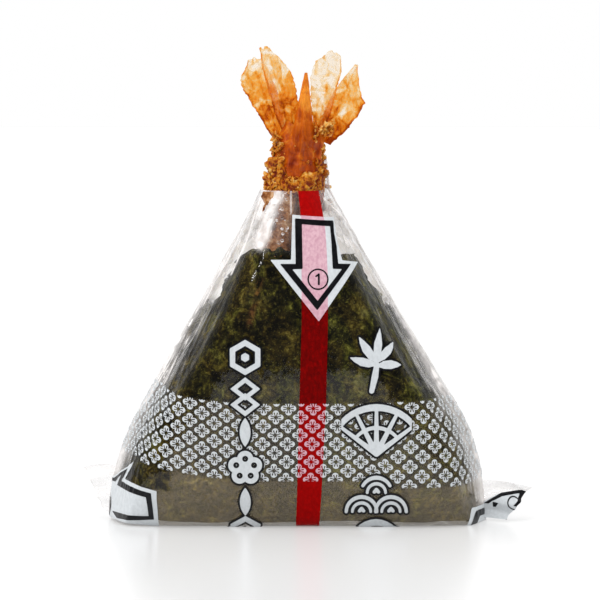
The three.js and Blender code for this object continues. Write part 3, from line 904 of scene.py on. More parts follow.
def rice_core(columns=180):
    wall, shoulder = np.linspace(RICE_FOOT, RICE_WALL_TOP, 90), np.linspace(RICE_WALL_TOP + 0.6, RICE_TOP, 8)
    heights = np.concatenate([wall, shoulder])
    turn, z = np.meshgrid(np.linspace(-180, 180, columns + 1)[:-1], heights)
    x, y = pack_point(turn, z, rice_inset(turn, z))
    size = np.hypot(x, y)
    bump = 0.45 * fractal(x / 2.6, y / 2.6, z / 2.6, 91)
    scale = mix(1, 0.75, rise(z, 68, 10)) * (size + bump) / size
    return stacked(x * scale, y * scale, z), tube_faces(len(heights), columns)


def grain_shape(sides=8, rings=5):
    """A grain of rice along +X, drawn out to GRAIN_HALF_SIZE."""
    points = [(-1, 0, 0)]
    for i in range(1, rings + 1):
        a = math.pi * i / (rings + 1)
        for j in range(sides):
            b = 2 * math.pi * j / sides
            points.append((-math.cos(a), math.sin(a) * math.cos(b), math.sin(a) * math.sin(b)))
    points.append((1, 0, 0))
    faces = []
    last = 1 + (rings - 1) * sides
    for j in range(sides):
        k = (j + 1) % sides
        faces.append((0, 1 + k, 1 + j))
        faces += [(a + j, a + k, a + sides + k, a + sides + j) for a in range(1, last, sides)]
        faces.append((last + j, last + k, len(points) - 1))
    return np.array(points) * GRAIN_HALF_SIZE, faces


def rice_grains(count=800, on_top=360):
    """Grains laid on the core where it shows: on both sides above the nori, and round the prawn."""
    random = np.random.default_rng(12)
    shape, faces = grain_shape()
    on_sides = count - on_top
    z = np.concatenate([random.uniform(63, RICE_TOP + 1, on_top), mix(53.0, 79.0, random.random(on_sides))])
    turn = np.concatenate([random.uniform(-180, 180, on_top),
                           random.choice([-90, 90], on_sides) + random.normal(size=on_sides) * 14])
    centre = film_point(turn, z, -(rice_inset(turn, z) + 0.35) - 0.2)
    near = film_point(turn + 1, z) - film_point(turn - 1, z)
    higher = film_point(turn, z + 1) - film_point(turn, z - 1)
    normal, tangent = unit(np.cross(near, higher)), unit(near)
    other = np.cross(normal, tangent)
    centre = centre - normal * 0.75
    parts = []
    for i in range(count):
        lie = random.random() * math.pi
        flat = tangent[i] * math.cos(lie) + other[i] * math.sin(lie)
        axis = unit(flat + normal[i] * random.normal() * 0.12)
        second = unit(np.cross(normal[i], axis))
        grain = shape * random.uniform(0.82, 1.05)
        grain[:, 2] += 0.02 * random.normal() * grain[:, 0] ** 2
        parts.append((centre[i] + grain @ np.stack([axis, second, np.cross(axis, second)]), faces))
    return joined(parts)


def make_rice():
    material = rice_material()
    make_piece("rice_core", rice_core(), "rice", material)
    make_piece("rice_grains", rice_grains(), "rice", material)


# ---------------------------------------------------------------- regions, negative inside


def segment_distance(a, b, s, z):
    """Distance to the line from a to b: (s, z) points, or (s, z, half width) ones of a brush stroke."""
    along_s, along_z = b[0] - a[0], b[1] - a[1]
    t = np.clip(((s - a[0]) * along_s + (z - a[1]) * along_z) / (along_s**2 + along_z**2), 0, 1)
    distance = np.hypot(s - a[0] - t * along_s, z - a[1] - t * along_z)
    return distance - mix(a[2], b[2], t) if len(a) > 2 else distance


def line_distance(points, s, z):
    return np.min([segment_distance(a, b, s, z) for a, b in zip(points[:-1], points[1:])], axis=0)


def brushed(*strokes):
    return lambda s, z: np.min([line_distance(stroke, s, z) for stroke in strokes], axis=0)


def polygon(corners):
    edges = list(zip(corners, corners[1:] + corners[:1]))

    def region(s, z):
        inside = np.zeros(np.shape(s), bool)
        for a, b in edges:
            if a[1] != b[1]:
                crosses = (a[1] > z) != (b[1] > z)
                inside ^= crosses & (s < (b[0] - a[0]) * (z - a[1]) / (b[1] - a[1]) + a[0])
        nearest = np.min([segment_distance(a, b, s, z) for a, b in edges], axis=0)
        return np.where(inside, -nearest, nearest)
    return region


def disc(centre, radius):
    return lambda s, z: np.hypot(s - centre[0], z - centre[1]) - radius


def circle(centre, radius, line):
    """A circle drawn as a line."""
    return lambda s, z: np.abs(disc(centre, radius)(s, z)) - line / 2


def either(*regions):
    return lambda s, z: np.min([region(s, z) for region in regions], axis=0)


def both(*regions):
    return lambda s, z: np.max([region(s, z) for region in regions], axis=0)


def outside(region):
    return lambda s, z: -region(s, z)


def grown(region, by):
    return lambda s, z: region(s, z) - by


def edge_of(region, width):
    """What lies inside a region, within a width of its edge."""
    return both(region, outside(grown(region, -width)))


def outlined(outer, inner):
    """What lies between two outlines."""
    return both(polygon(outer), outside(polygon(inner)))


def as_seen(region):
    """A region in x as seen from the front and z, laid on the film."""
    return lambda s, z: region(pack_point(turn_at(s, z), z)[0], z)


def box_at(centre, reach, least=0.1):
    """The box round a region within reach of its middle, down to the least height."""
    return (centre[0] - reach, max(centre[1] - reach, least)), (centre[0] + reach, centre[1] + reach)


def filled(region, box, cell):
    """Polygons of (s, z) points that cover a region within a box."""
    (s0, z0), (s1, z1) = box
    s = s0 + cell * np.arange(int((s1 - s0) / cell) + 2)
    z = z0 + cell * np.arange(int((z1 - z0) / cell) + 2)
    value = region(*np.meshgrid(s, z))
    inside = value < 0
    active = inside[:-1, :-1] | inside[1:, :-1] | inside[:-1, 1:] | inside[1:, 1:]
    index, points, faces = {}, [], []

    def point_at(key, place):
        if key not in index:
            index[key] = len(points)
            points.append(place)
        return index[key]

    for i, j in zip(*np.nonzero(active)):
        ring = [(i, j), (i, j + 1), (i + 1, j + 1), (i + 1, j)]
        face = []
        for a, b in zip(ring, ring[1:] + ring[:1]):
            if inside[a]:
                face.append(point_at(a, (s[a[1]], z[a[0]])))
            if inside[a] != inside[b]:
                t = value[a] / (value[a] - value[b])
                place = (mix(s[a[1]], s[b[1]], t), mix(z[a[0]], z[b[0]], t))
                face.append(point_at((min(a, b), max(a, b)), place))
        if len(face) > 2:
            faces.append(tuple(face))
    return np.array(points), faces


# ---------------------------------------------------------------- print


def print_shift(s, z):
    """How far the printed rows climb towards the sides, and how they spread on the right."""
    folded = np.where(np.abs(s) < 54, np.abs(s), 108 - np.abs(s))
    t = np.clip(folded - 12, 0, 32)
    left = (0.07 * t + 0.0025 * t**2) * (1.15 - 0.012 * (z - BAND_LOW))
    spread = rise(folded, 17, 6)
    right = spread * (0.35 - 0.11 * (BAND_HIGH - z)) + 0.010 * np.clip(folded - 30, 0, 30) ** 1.3
    return np.where(s < 0, left, right)


def strip_edges(z):
    middle, half = by_height(STRIP_CENTRE, z), by_height(STRIP_HALF_WIDTH, z)
    return middle - half, middle + half


def on_strip(s, z):
    """The tear strip's region."""
    left, right = strip_edges(z)
    return np.maximum(left - s, s - right)


def petal():
    """One petal of a blossom along +X, 1 from the middle to its tip, with two slits from the middle."""
    arc = np.radians(np.linspace(-135, 135, 11))
    outline = [(0.58 + 0.42 * math.cos(a), 0.41 * math.sin(a)) for a in arc]
    comb = [(0.22, 38), (0.26, 33), (0.72, 25), (0.72, 10), (0.27, 8), (0.24, 0), (0.27, -8), (0.72, -10),
            (0.72, -25), (0.26, -33), (0.22, -38)]
    outline += [(r * math.cos(math.radians(a)), r * math.sin(math.radians(a))) for r, a in comb]
    return np.array(outline)


def blossom_triangles():
    outline = petal()
    triples = tessellate_polygon([[Vector((x, y, 0)) for x, y in outline]])
    triangles = []
    for quarter in range(4):
        a = quarter * math.pi / 2
        turned = outline @ np.array([[math.cos(a), math.sin(a)], [-math.sin(a), math.cos(a)]])
        turned = turned * (BLOSSOM["half_width"], BLOSSOM["half_height"])
        triangles += [turned[list(triple)] for triple in triples]
    return triangles


def cut_triangle(triangle, distance):
    """The part of a triangle of (s, z) points where distance(points) is positive, as triangles."""
    kept = []
    d = distance(triangle)
    for i in range(3):
        j = (i + 1) % 3
        if d[i] >= 0:
            kept.append(triangle[i])
        if (d[i] >= 0) != (d[j] >= 0):
            kept.append(mix(triangle[i], triangle[j], d[i] / (d[i] - d[j])))
    return [np.array([kept[0], kept[k], kept[k + 1]]) for k in range(1, len(kept) - 1)]


def cut_all(triangles, distance):
    return [piece for triangle in triangles for piece in cut_triangle(triangle, distance)]


def room_to_ridge(p):
    """How far (s, z) points are from the ridge on their side."""
    right = np.interp(p[:, 1], ROW_HEIGHTS, LENGTHS[:, 3 * QUARTER])
    left = np.interp(p[:, 1], ROW_HEIGHTS, -LENGTHS[:, QUARTER])
    return np.where(p[:, 0] < 0, left, right) - np.abs(p[:, 0])


def blossom_at(row, column, shape):
    """One blossom of the band, cut at the band's edges and the ridges, and its s and height."""
    z = BLOSSOM["first_z"] - BLOSSOM["row"] * row
    s = BLOSSOM["first_s"] + BLOSSOM["pitch"] * (column + 0.5 * (row % 2))
    if s >= -12:
        s += by_height(STRIP_CENTRE, z) - by_height(STRIP_CENTRE, 29.7)
    shift = float(print_shift(s, z))
    room = room_to_ridge(np.array([[s, z + shift]]))[0]
    if room < -3:
        return [], s, z
    tilt = float(print_shift(s + 1, z) - print_shift(s - 1, z)) / 2
    narrow = 0.94 if abs(s) > 33 else 1.0
    leaning = []
    for triangle in shape:
        across, up = triangle.T
        leaning.append(np.stack([across * narrow + s, up + (z + shift) + tilt * across], axis=-1))
    if room < 3:
        leaning = cut_all(leaning, room_to_ridge)
    if abs(z - (BAND_LOW + BAND_HIGH) / 2) > (BAND_HIGH - BAND_LOW) / 2 - 2.3:
        for edge, way in ((BAND_LOW, 1), (BAND_HIGH, -1)):
            leaning = cut_all(leaning, lambda p: way * (p[:, 1] - (edge + shift) - tilt * (p[:, 0] - s)))
    return leaning, s, z


def with_back(triangles):
    """(s, z) triangles on the front, all anticlockwise, and the same ones on the back, behind them."""
    front = np.array(triangles)
    one, other = front[:, 1] - front[:, 0], front[:, 2] - front[:, 0]
    area = one[:, 0] * other[:, 1] - one[:, 1] * other[:, 0]
    front = np.where(area[:, None, None] > 0, front, front[:, ::-1])[np.abs(area) > 1e-6]
    s, z = front[..., 0], front[..., 1]
    back = np.stack([length_at(behind(turn_at(s, z)), z), z], axis=-1)[:, ::-1]
    return np.concatenate([front, back])


def blossom_band(rows=range(-1, 10), columns=range(-11, 12), reach=2.1):
    """The band of blossoms round the pack, as (s, z) triangles: those clear of the strip, those on it."""
    shape = blossom_triangles()
    clear, on_red = [], []
    for row in rows:
        for column in columns:
            blossom, s, z = blossom_at(row, column, shape)
            left, right = strip_edges(z)
            if left - reach <= s <= right + reach and not left + reach < s < right - reach:
                clear += cut_all(blossom, lambda p: left - p[:, 0])
                clear += cut_all(blossom, lambda p: p[:, 0] - right)
                on_red += cut_all(cut_all(blossom, lambda p: p[:, 0] - left), lambda p: right - p[:, 0])
            elif left < s < right:
                on_red += blossom
            else:
                clear += blossom
    return with_back(clear), with_back(on_red)


def triangles_on_film(triangles, layer):
    s, z = triangles.reshape(-1, 2).T
    return film_point(turn_at(s, z), z, layer * PRINT_STEP), [(k, k + 1, k + 2) for k in range(0, len(s), 3)]


def region_on_film(region, box, layer, cell=0.2):
    flat, faces = filled(region, box, cell)
    s, z = flat.T
    return film_point(turn_at(s, z), z, layer * PRINT_STEP), faces


def region_on_ear(region, forward, cell=0.14):
    """Print on the right ear, from a region in x and z, this far in front of the film."""
    low_corner, high_corner = np.min(EAR_PLATE, axis=0) - 0.5, np.max(EAR_PLATE, axis=0) + 0.5
    flat, faces = filled(region, ((low_corner[0], max(low_corner[1], 0.05)), high_corner), cell)
    x, z = flat.T
    out, up = np.full(len(x), 0.5), np.full(len(x), 0.5)
    for _ in range(25):
        _, low = ear_spread(RIGHT_EAR, out, 0.0)
        _, high = ear_spread(RIGHT_EAR, out, 1.0)
        up = np.clip((z - low) / (high - low), 0, 1)
        widest, _ = ear_spread(RIGHT_EAR, 1.0, up)
        out = np.clip((x - EAR_ROOT) / (widest - EAR_ROOT), 0, 1)
    return ear_point(RIGHT_EAR, out, up, forward), faces


# The pull arrow's plate and the edges of its black line, in x as seen from the front and z.
PULL_BOX = ((-8.0, 50.2), (21.0, 77.4))
PULL_PLATE = [(-1.4, 76.7), (8.7, 75.9), (9.5, 70.5), (10.8, 65.6), (14.7, 64.9), (5.1, 50.9), (-6.8, 65.8),
              (-1.7, 65.8)]
PULL_OUTER = [(-0.75, 75.8), (8.55, 75.1), (8.8, 72.2), (9.4, 68.8), (9.8, 64.8), (12.9, 64.6), (4.7, 53.6),
              (-4.4, 64.8), (-0.55, 64.8)]
PULL_INNER = [(0.95, 74.4), (7.8, 73.8), (8.1, 70.6), (8.5, 63.6), (10.7, 63.5), (4.8, 55.9), (-1.4, 63.5),
              (1.15, 63.6)]
# The corner arrows', in x as seen from the front and z. They wrap round the ridges.
LEFT_BOX = ((-84, 0.05), (-32, 17))
LEFT_PLATE = [(-40.4, 15.9), (-42.8, 11.1), (-34.6, 9.2), (-34.2, 0.1), (-60, 0.1), (-60, 10.3),
              (-46.3, 10.3)]
LEFT_OUTER = [(-42.2, 13.8), (-43.7, 10.2), (-35.9, 8.6), (-35.3, 1.9), (-44.9, 0.6), (-46.4, 1.9),
              (-46.9, 5.0), (-60, 9.0), (-60, 10.2), (-45.9, 10.2)]
LEFT_INNER = [(-43.7, 11.8), (-44.9, 8.8), (-37.2, 7.5), (-36.6, 2.7), (-44.5, 2.1), (-46.4, 1.9), (-61, 1.9),
              (-61, 9.4), (-45.5, 9.4)]
FOLD_BOX = ((-64, 0.05), (-50, 6))
LEFT_FOLD = [(-60, 0.3), (-47.05, 0.3), (-46.75, 2.6), (-46.6, 5.2), (-60, 5.2)]
RIGHT_BOX = ((40, 0.05), (76, 5))
RIGHT_PLATE = [(42.9, 4.2), (60, 3.4), (60, 0.1), (41.6, 0.1), (42.1, 1.2)]
RIGHT_OUTER = [(44.1, 3.2), (60, 2.5), (60, 0.0), (42.5, 0.0), (43.0, 0.9)]
RIGHT_INNER = [(45.2, 1.6), (61, 1.2), (61, -0.1), (44.2, -0.1)]
# The right one's end on the ear, in x and z.
EAR_PLATE = [(46.4, 4.6), (49.8, 6.4), (54.4, 7.1), (56.0, 7.4), (57.0, 7.1), (56.4, 5.7), (54.4, 3.7),
             (52.3, 1.4), (51.6, 0.2), (46.4, 0.2)]
EAR_OUTER = [(46.4, 4.2), (48.4, 5.45), (50.9, 6.75), (54.4, 7.3), (56.0, 7.55), (57.1, 7.2), (56.9, 6.2),
             (55.7, 4.9), (54.4, 3.9)]
EAR_INNER = [(46.4, 3.2), (48.4, 4.75), (50.9, 5.95), (54.4, 6.6), (55.5, 6.7), (55.3, 6.1), (54.1, 4.6),
             (53.3, 3.6)]
EAR_MARKS = [[(48.6, 4.7), (50.0, 4.4), (49.4, 3.4), (48.7, 3.4)], [(50.6, 0.2), (51.7, 0.9), (51.5, -0.2)]]
EAR_DISC = dict(centre=(53.8, 4.5), radius=1.5, line=0.3)
STEP_DISC = dict(centre=(4.9, 61.1), radius=2.4, line=0.36)
NUMERAL_ONE = brushed([(5.1, 59.9, 0.24), (5.1, 62.3, 0.24)], [(5.1, 62.3, 0.2), (4.4, 61.8, 0.2)])

# Generic ornaments where the pack has its words: a column of small ones, and one of large brushed ones.
ORNAMENT_LINE = 0.5
SMALL_S, LARGE_S = -12.9, 19.2
SMALL_REACH, LARGE_REACH = 5.6, 8.6


def tortoise_shell(s, z, size=4.3):
    """A hexagon's outline round a small hexagon."""
    angles = [math.pi / 2 + k * math.pi / 3 for k in range(6)]
    hexagon = polygon([(s + size * math.cos(a), z + size * math.sin(a)) for a in angles])
    return either(edge_of(hexagon, 1.3), grown(hexagon, -2.75))


def crossed_diamonds(s, z, size=4.6):
    """Two diamonds, one above the other, that share their middle."""
    diamonds = []
    for middle in (z - 0.42 * size, z + 0.42 * size):
        tall, wide = 0.62 * size, 0.8 * size
        corners = [(s, middle + tall), (s + wide, middle), (s, middle - tall), (s - wide, middle)]
        diamonds.append(edge_of(polygon(corners), 1.05))
    return either(*diamonds)


def leaf(s, z, half_wide=1.332, radius=5.365):
    """A slender upright leaf, between two arcs."""
    away = radius - half_wide
    return both(disc((s + away, z), radius), disc((s - away, z), radius))


def open_blossom(s, z, size=4.4, line=0.62):
    """A plum blossom drawn as a line, with a dot in its middle."""
    angles = [math.pi / 2 + 2 * math.pi * k / 5 for k in range(5)]
    centres = [(s + 0.52 * size * math.cos(a), z + 0.52 * size * math.sin(a)) for a in angles]
    petals = either(*(disc(centre, 0.45 * size) for centre in centres))
    return either(edge_of(petals, 2 * line), disc((s, z), 0.2 * size))


def arc_stroke(centre, radius, start, end, widths, steps=14):
    """A curved brush stroke, its half width following widths along it. Angles in degrees from +s."""
    stroke = []
    for t in np.linspace(0, 1, steps + 1):
        a = math.radians(mix(start, end, t))
        width = np.interp(t, np.linspace(0, 1, len(widths)), widths)
        stroke.append((centre[0] + radius * math.cos(a), centre[1] + radius * math.sin(a), width))
    return stroke


def bamboo_spray(s, z):
    """Five pointed leaves that fan out from a bent stem."""
    strokes = [[(s - 1.2, z - 7.0, 0.6), (s - 0.4, z - 3.4, 0.8), (s, z - 0.6, 0.6)]]
    leaves = ((172, 6.6, -0.6), (132, 7.4, 0.0), (88, 7.8, 0.2), (46, 7.0, 0.0), (6, 6.4, -0.8))
    for angle, length, foot in leaves:
        blade = []
        for share, width in ((0.0, 0.25), (0.3, 0.95), (0.55, 1.05), (0.8, 0.65), (1.0, 0.12)):
            a = math.radians(angle - 7 * share)
            blade.append((s + length * share * math.cos(a), z + foot + length * share * math.sin(a), width))
        strokes.append(blade)
    return brushed(*strokes)


def open_fan(s, z):
    """A folding fan: two arcs, its ribs and its pivot."""
    foot = (s, z - 5.6)
    strokes = [arc_stroke(foot, 11.4, 36, 144, (0.7, 0.85, 0.7)),
               arc_stroke(foot, 6.4, 38, 142, (0.4, 0.5, 0.4))]
    for angle in (37, 63, 90, 117, 143):
        a = math.radians(angle)
        strokes.append([(*foot, 0.7), (foot[0] + 11.2 * math.cos(a), foot[1] + 11.2 * math.sin(a), 0.4)])
    return brushed(*strokes)


def sea_waves(s, z):
    """Three scales of the sea wave pattern, two below and one that rises behind them."""
    strokes = []
    for x, h, covered in ((s - 3.6, z - 5.4, 0), (s + 3.6, z - 5.4, 0), (s, z - 0.6, 28)):
        for radius, width, start in ((3.75, 0.5, covered), (2.25, 0.42, 0)):
            strokes.append(arc_stroke((x, h), radius, start, 180 - start, (0.8 * width, width, 0.8 * width)))
        strokes.append([(x - 0.5, h + 0.2, 0.42), (x, h + 0.75, 0.5), (x + 0.5, h + 0.2, 0.42)])
    return brushed(*strokes)


def wave_crests(s, z):
    """The sea wave pattern's arcs, one inside the other."""
    return brushed(*(arc_stroke((s, z), radius, 4, 176, (0.6, 0.9, 0.6)) for radius in (5.8, 3.2)))


ORNAMENTS = [(SMALL_S, SMALL_REACH, ((tortoise_shell, 42.2), (crossed_diamonds, 32.6), (leaf, 23.9),
                                     (open_blossom, 15.1), (leaf, 6.7), (tortoise_shell, -1.2))),
             (LARGE_S, LARGE_REACH, ((bamboo_spray, 41.0), (open_fan, 24.2), (sea_waves, 9.6),
                                     (wave_crests, -4.4)))]


def film_prints():
    """The plates and arrows on the film: each one's ink, region, box, layer and cell size."""
    pull = as_seen(polygon(PULL_PLATE))
    step_box = box_at(STEP_DISC["centre"], 3)
    return [("white", both(pull, outside(on_strip)), PULL_BOX, "plate", 0.2),
            ("pink", both(pull, on_strip), PULL_BOX, "plate", 0.2),
            ("black", as_seen(outlined(PULL_OUTER, PULL_INNER)), PULL_BOX, "line", 0.2),
            ("black", circle(**STEP_DISC), step_box, "line", 0.12),
            ("black", NUMERAL_ONE, step_box, "line", 0.12),
            ("white", as_seen(polygon(LEFT_PLATE)), LEFT_BOX, "plate", 0.16),
            ("black", as_seen(outlined(LEFT_OUTER, LEFT_INNER)), LEFT_BOX, "line", 0.16),
            ("white", as_seen(polygon(RIGHT_PLATE)), RIGHT_BOX, "plate", 0.16),
            ("black", as_seen(outlined(RIGHT_OUTER, RIGHT_INNER)), RIGHT_BOX, "line", 0.16),
            ("black", as_seen(polygon(LEFT_FOLD)), FOLD_BOX, "line", 0.12)]


def ornament_prints():
    prints = []
    for s, reach, column in ORNAMENTS:
        for kind, height in column:
            shape, box = kind(s, height), box_at((s, height), reach)
            prints.append(("black", grown(shape, ORNAMENT_LINE), box, "ornament_edge", 0.2))
            prints.append(("white", shape, box, "ornament", 0.2))
    return prints


def ear_prints():
    plate = polygon(EAR_PLATE)
    lines = [outlined(EAR_OUTER, EAR_INNER), both(circle(**EAR_DISC), plate)]
    lines += [polygon(mark) for mark in EAR_MARKS]
    return [("white", plate, 0.10)] + [("black", line, 0.16) for line in lines]


def make_print():
    """One piece for each ink, and the tear strip."""
    clear, on_red = blossom_band()
    parts = dict(white=[triangles_on_film(clear, LAYERS["blossom"])], black=[],
                 pink=[triangles_on_film(on_red, LAYERS["blossom_on_strip"])])
    for ink, region, box, layer, cell in film_prints():
        parts[ink].append(region_on_film(region, box, LAYERS[layer], cell))
    for ink, region, forward in ear_prints():
        parts[ink].append(region_on_ear(region, forward))
    for ink, region, box, layer, cell in ornament_prints():
        parts[ink].append(region_on_film(region, box, LAYERS[layer], cell))
    inks = dict(white=print_material("white_ink", (0.54, 0.57, 0.59), (0.61, 0.64, 0.665)),
                black=print_material("black_ink", (0.003, 0.003, 0.004), (0.009, 0.009, 0.011)),
                pink=print_material("white_ink_on_red", (0.54, 0.29, 0.36), (0.66, 0.42, 0.48)))
    for ink, material in inks.items():
        make_piece(ink + "_print", joined(parts[ink]), "print_" + ink, material)
    make_strip()


def make_strip(columns=32, under_rows=22):
    """The tear strip, down the front, under the base and up the back."""
    up = np.unique(np.concatenate([np.arange(0.05, HEIGHT, 0.45), [BAND_LOW, BAND_HIGH, HEIGHT]]))[::-1]
    middle, half = by_height(STRIP_CENTRE, up), by_height(STRIP_HALF_WIDTH, up)
    s = middle[:, None] + half[:, None] * np.linspace(-1, 1, columns)[None, :]
    z = np.repeat(up[:, None], columns, axis=1)
    out = PRINT_STEP * LAYERS["strip"]
    front = film_point(turn_at(s, z), z, out)
    back = film_point(behind(turn_at(s, z)), z, out)[::-1]
    under = mix(front[-1], back[0], np.linspace(0, 1, under_rows + 2)[1:-1, None, None])
    under[..., 2] = np.maximum(under[..., 2] - 0.1, 0.0)
    rows = np.concatenate([front, under, back])
    points = rows.reshape(-1, 3)
    height = points[:, 2]
    bright = np.select([height < BAND_LOW, height < BAND_HIGH, height > 76], [0.52, 0.5, 0.64], 0.13)
    shape = (points, flipped(grid_faces(len(rows), columns)))
    make_piece("tear_strip", shape, "print_red", strip_material(), over_print=bright)


# ---------------------------------------------------------------- the prawn

# The prawn behind the film: by height, its half width, its middle and its half depth.
UNDER_WIDE = [(66.5, 1.2), (68, 3.4), (70, 4.4), (75, 4.3), (82, 4.7)]
UNDER_MIDDLE = [(66.5, -5.0), (70, -5.0), (75, -4.3), (82, -4.0)]
UNDER_DEEP = [(66.5, 0.6), (68, 2.0), (72, 3.2), (83, 3.2)]
COLLAR_CRUMBS = 390
# Crumbs at the fins' roots: how many, from where to where, how deep and how far they scatter in height.
FIN_CRUMBS = [dict(count=70, x=(3.0, 8.6), z=(95.0, 98.4), y=(-3.2, -0.6), scatter=1.0),
              dict(count=40, x=(-3.0, -6.4), z=(92.5, 96.3), y=(-2.6, 0.8), scatter=0.8)]


def body_section(z):
    """The body's middle, half width and half depth at a height."""
    heights, *columns = zip(*BODY_STATIONS)
    at = np.interp(z, heights, np.linspace(0, 1, len(heights)))
    return [along(column, at) for column in columns]


def prawn_body(rows=130, columns=96):
    turn, z = np.meshgrid(round_turns(columns), np.linspace(64, 99.5, rows))
    centre, wide, deep = body_section(z)
    x, y = np.cos(turn), np.sin(turn)
    lump = 0.30 * fractal(x * 3, y * 3, z / 2.6, 101) + 0.12 * np.cos(turn * 13)
    lump = lump * (1 - 0.5 * rise(z, 92, 4))
    shrink = 1 - 0.28 * rise(z, 94, 5)
    ragged = (1.3 * value_noise(x * 4, y * 4, 0, 103) - 0.6) * rise(z, 93, 6)
    points = stacked(centre + x * (wide + lump) * shrink, y * (deep + lump) * shrink, z + ragged)
    return points, tube_faces(rows, columns)


def prawn_under_film(rows=60, columns=64):
    """The battered prawn where it lies close behind the film, left of the strip."""
    turn, z = np.meshgrid(round_turns(columns), np.linspace(66.5, 82.2, rows))
    wide, middle, deep = (by_height(table, z) for table in (UNDER_WIDE, UNDER_MIDDLE, UNDER_DEEP))
    film_front = pack_point(turn_at(middle, z), z)[1]
    x, y = np.cos(turn), np.sin(turn)
    lump = 0.45 * fractal(x * 2.2, y * 2.2, z / 1.8, 151)
    points = stacked(middle + x * (wide + lump), film_front + 1.0 + deep + y * (deep + lump), z)
    return points, tube_faces(rows, columns)


def collar_top(angle):
    """How high the batter reaches on the prawn: lowest in front, highest at the sides."""
    to_left, to_right = np.maximum(-np.cos(angle), 0), np.maximum(np.cos(angle), 0)
    side = 85.2 + 7.4 * smooth_step(to_left * 1.4 - 0.25) + 7.4 * rise(to_right, 0.55, 0.4)
    return np.maximum(side, 85 + 6 * smooth_step(np.sin(angle) * 2))


def craggy(x, y, z, seed):
    """Rounded lumps with sharp gaps between them, from 0 up."""
    return sum(size * np.abs(value_noise(x / scale, y / scale, z / scale, seed + k))
               for k, (scale, size) in enumerate(((1.05, 1.0), (0.52, 0.6), (0.27, 0.3))))


def batter_section(z):
    """The prawn's section at a height, deeper where the batter meets the film."""
    centre, wide, deep = body_section(z)
    return centre, wide, deep + 1.6 * (1 - rise(z, 82.5, 4))


def batter_collar(rows=92, columns=330):
    """The fried batter round the prawn, from inside the film's edge up to a ragged rim, and how far its points
    stand out, which sets its painted light and shade.
    """
    angle = round_turns(columns)
    share = np.linspace(0, 1, rows)[:, None]
    ragged = 0.9 * value_noise(angle * 3.5, 0, 0, 171) + 0.5 * value_noise(angle * 9, 0, 0, 172)
    z = mix(80.8, (collar_top(angle) + ragged)[None, :], share)
    centre, wide, deep = batter_section(z)
    x, y = centre + np.cos(angle) * wide, np.sin(angle) * deep
    crag = craggy(x, y, z, 161)
    calm = mix(1, 0.45, rise(np.maximum(np.cos(angle), 0), 0.3, 0.4))
    body = rise(share, 0, 0.08) * smooth_step((1 - share) / 0.22)
    out = mix(-0.6, 0.15 + 0.75 * crag * calm, body)
    points = stacked(x + np.cos(angle) * out, y + np.sin(angle) * out, z + 0.3 * crag)
    return points, tube_faces(rows, columns), np.clip((crag - 0.15) / 0.95, 0, 1).ravel()


def icosphere():
    mesh = bmesh.new()
    bmesh.ops.create_icosphere(mesh, subdivisions=2, radius=1.0)
    points = np.array([v.co[:] for v in mesh.verts])
    faces = [tuple(v.index for v in f.verts) for f in mesh.faces]
    mesh.free()
    return points, faces


def crumb(random, ball, size, seed):
    """One rough crumb, lumpy or drawn out, and how far each of its points stands out, which sets its painted
    light and shade.
    """
    stretch = np.array([random.uniform(0.9, 1.7), random.uniform(0.6, 1.0), random.uniform(0.3, 0.65)])
    at = ball * 1.25 + (seed * 1.7, 0, 0)
    spikes = np.clip(1.2 - 0.9 * craggy(*at.T, 111), 0, 1.2)
    local = ball * (0.3 + 0.85 * spikes)[:, None] * stretch * size
    rotation = np.linalg.qr(random.normal(size=(3, 3)))[0]
    return local @ rotation, np.clip(spikes * 0.95 - 0.1, 0, 1)


def crumbs():
    """Crumbs on the batter's collar, at the fins' roots and inside the film."""
    random = np.random.default_rng(5)
    ball, faces = icosphere()
    parts, outer = [], []

    def lay(place, size, seed, painted_light):
        local, shown = crumb(random, ball, size, seed)
        parts.append((local + place, faces))
        # How far a point stands out, plus a painted lift of light, sets the batter's painted shade; the fins'
        # roots, which lie in shade, get the most lift.
        outer.append(np.clip(shown + painted_light, 0, 1))

    for i in range(COLLAR_CRUMBS):
        angle = random.uniform(0, 2 * math.pi)
        to_left, to_right = max(-math.cos(angle), 0), max(math.cos(angle), 0)
        top = collar_top(angle) + 0.6
        z = mix(82.4, top, random.random()) if i % 9 else random.uniform(top, 95)
        size = mix(0.45, 1.9, random.random() ** 2.4) * (0.3 if z > top else 0.7 if z > 89 else 1)
        out = mix(0.25, 0.95, to_left * random.random()) * (0.25 if to_right > 0.4 else 1)
        centre, wide, deep = batter_section(z)
        lay((centre + math.cos(angle) * (wide + out), math.sin(angle) * (deep + out), z), size, i, 0.12)
    seed = 1000
    for root in FIN_CRUMBS:
        for _ in range(root["count"]):
            share = random.random()
            size = random.uniform(0.3, 0.9)
            x, y, z = mix(*root["x"], share), random.uniform(*root["y"]), mix(*root["z"], share)
            lay((x, y, z + random.normal() * root["scatter"]), size, seed, 0.36)
            seed += 1
    points, faces = joined(parts)
    return points, faces, np.concatenate(outer)


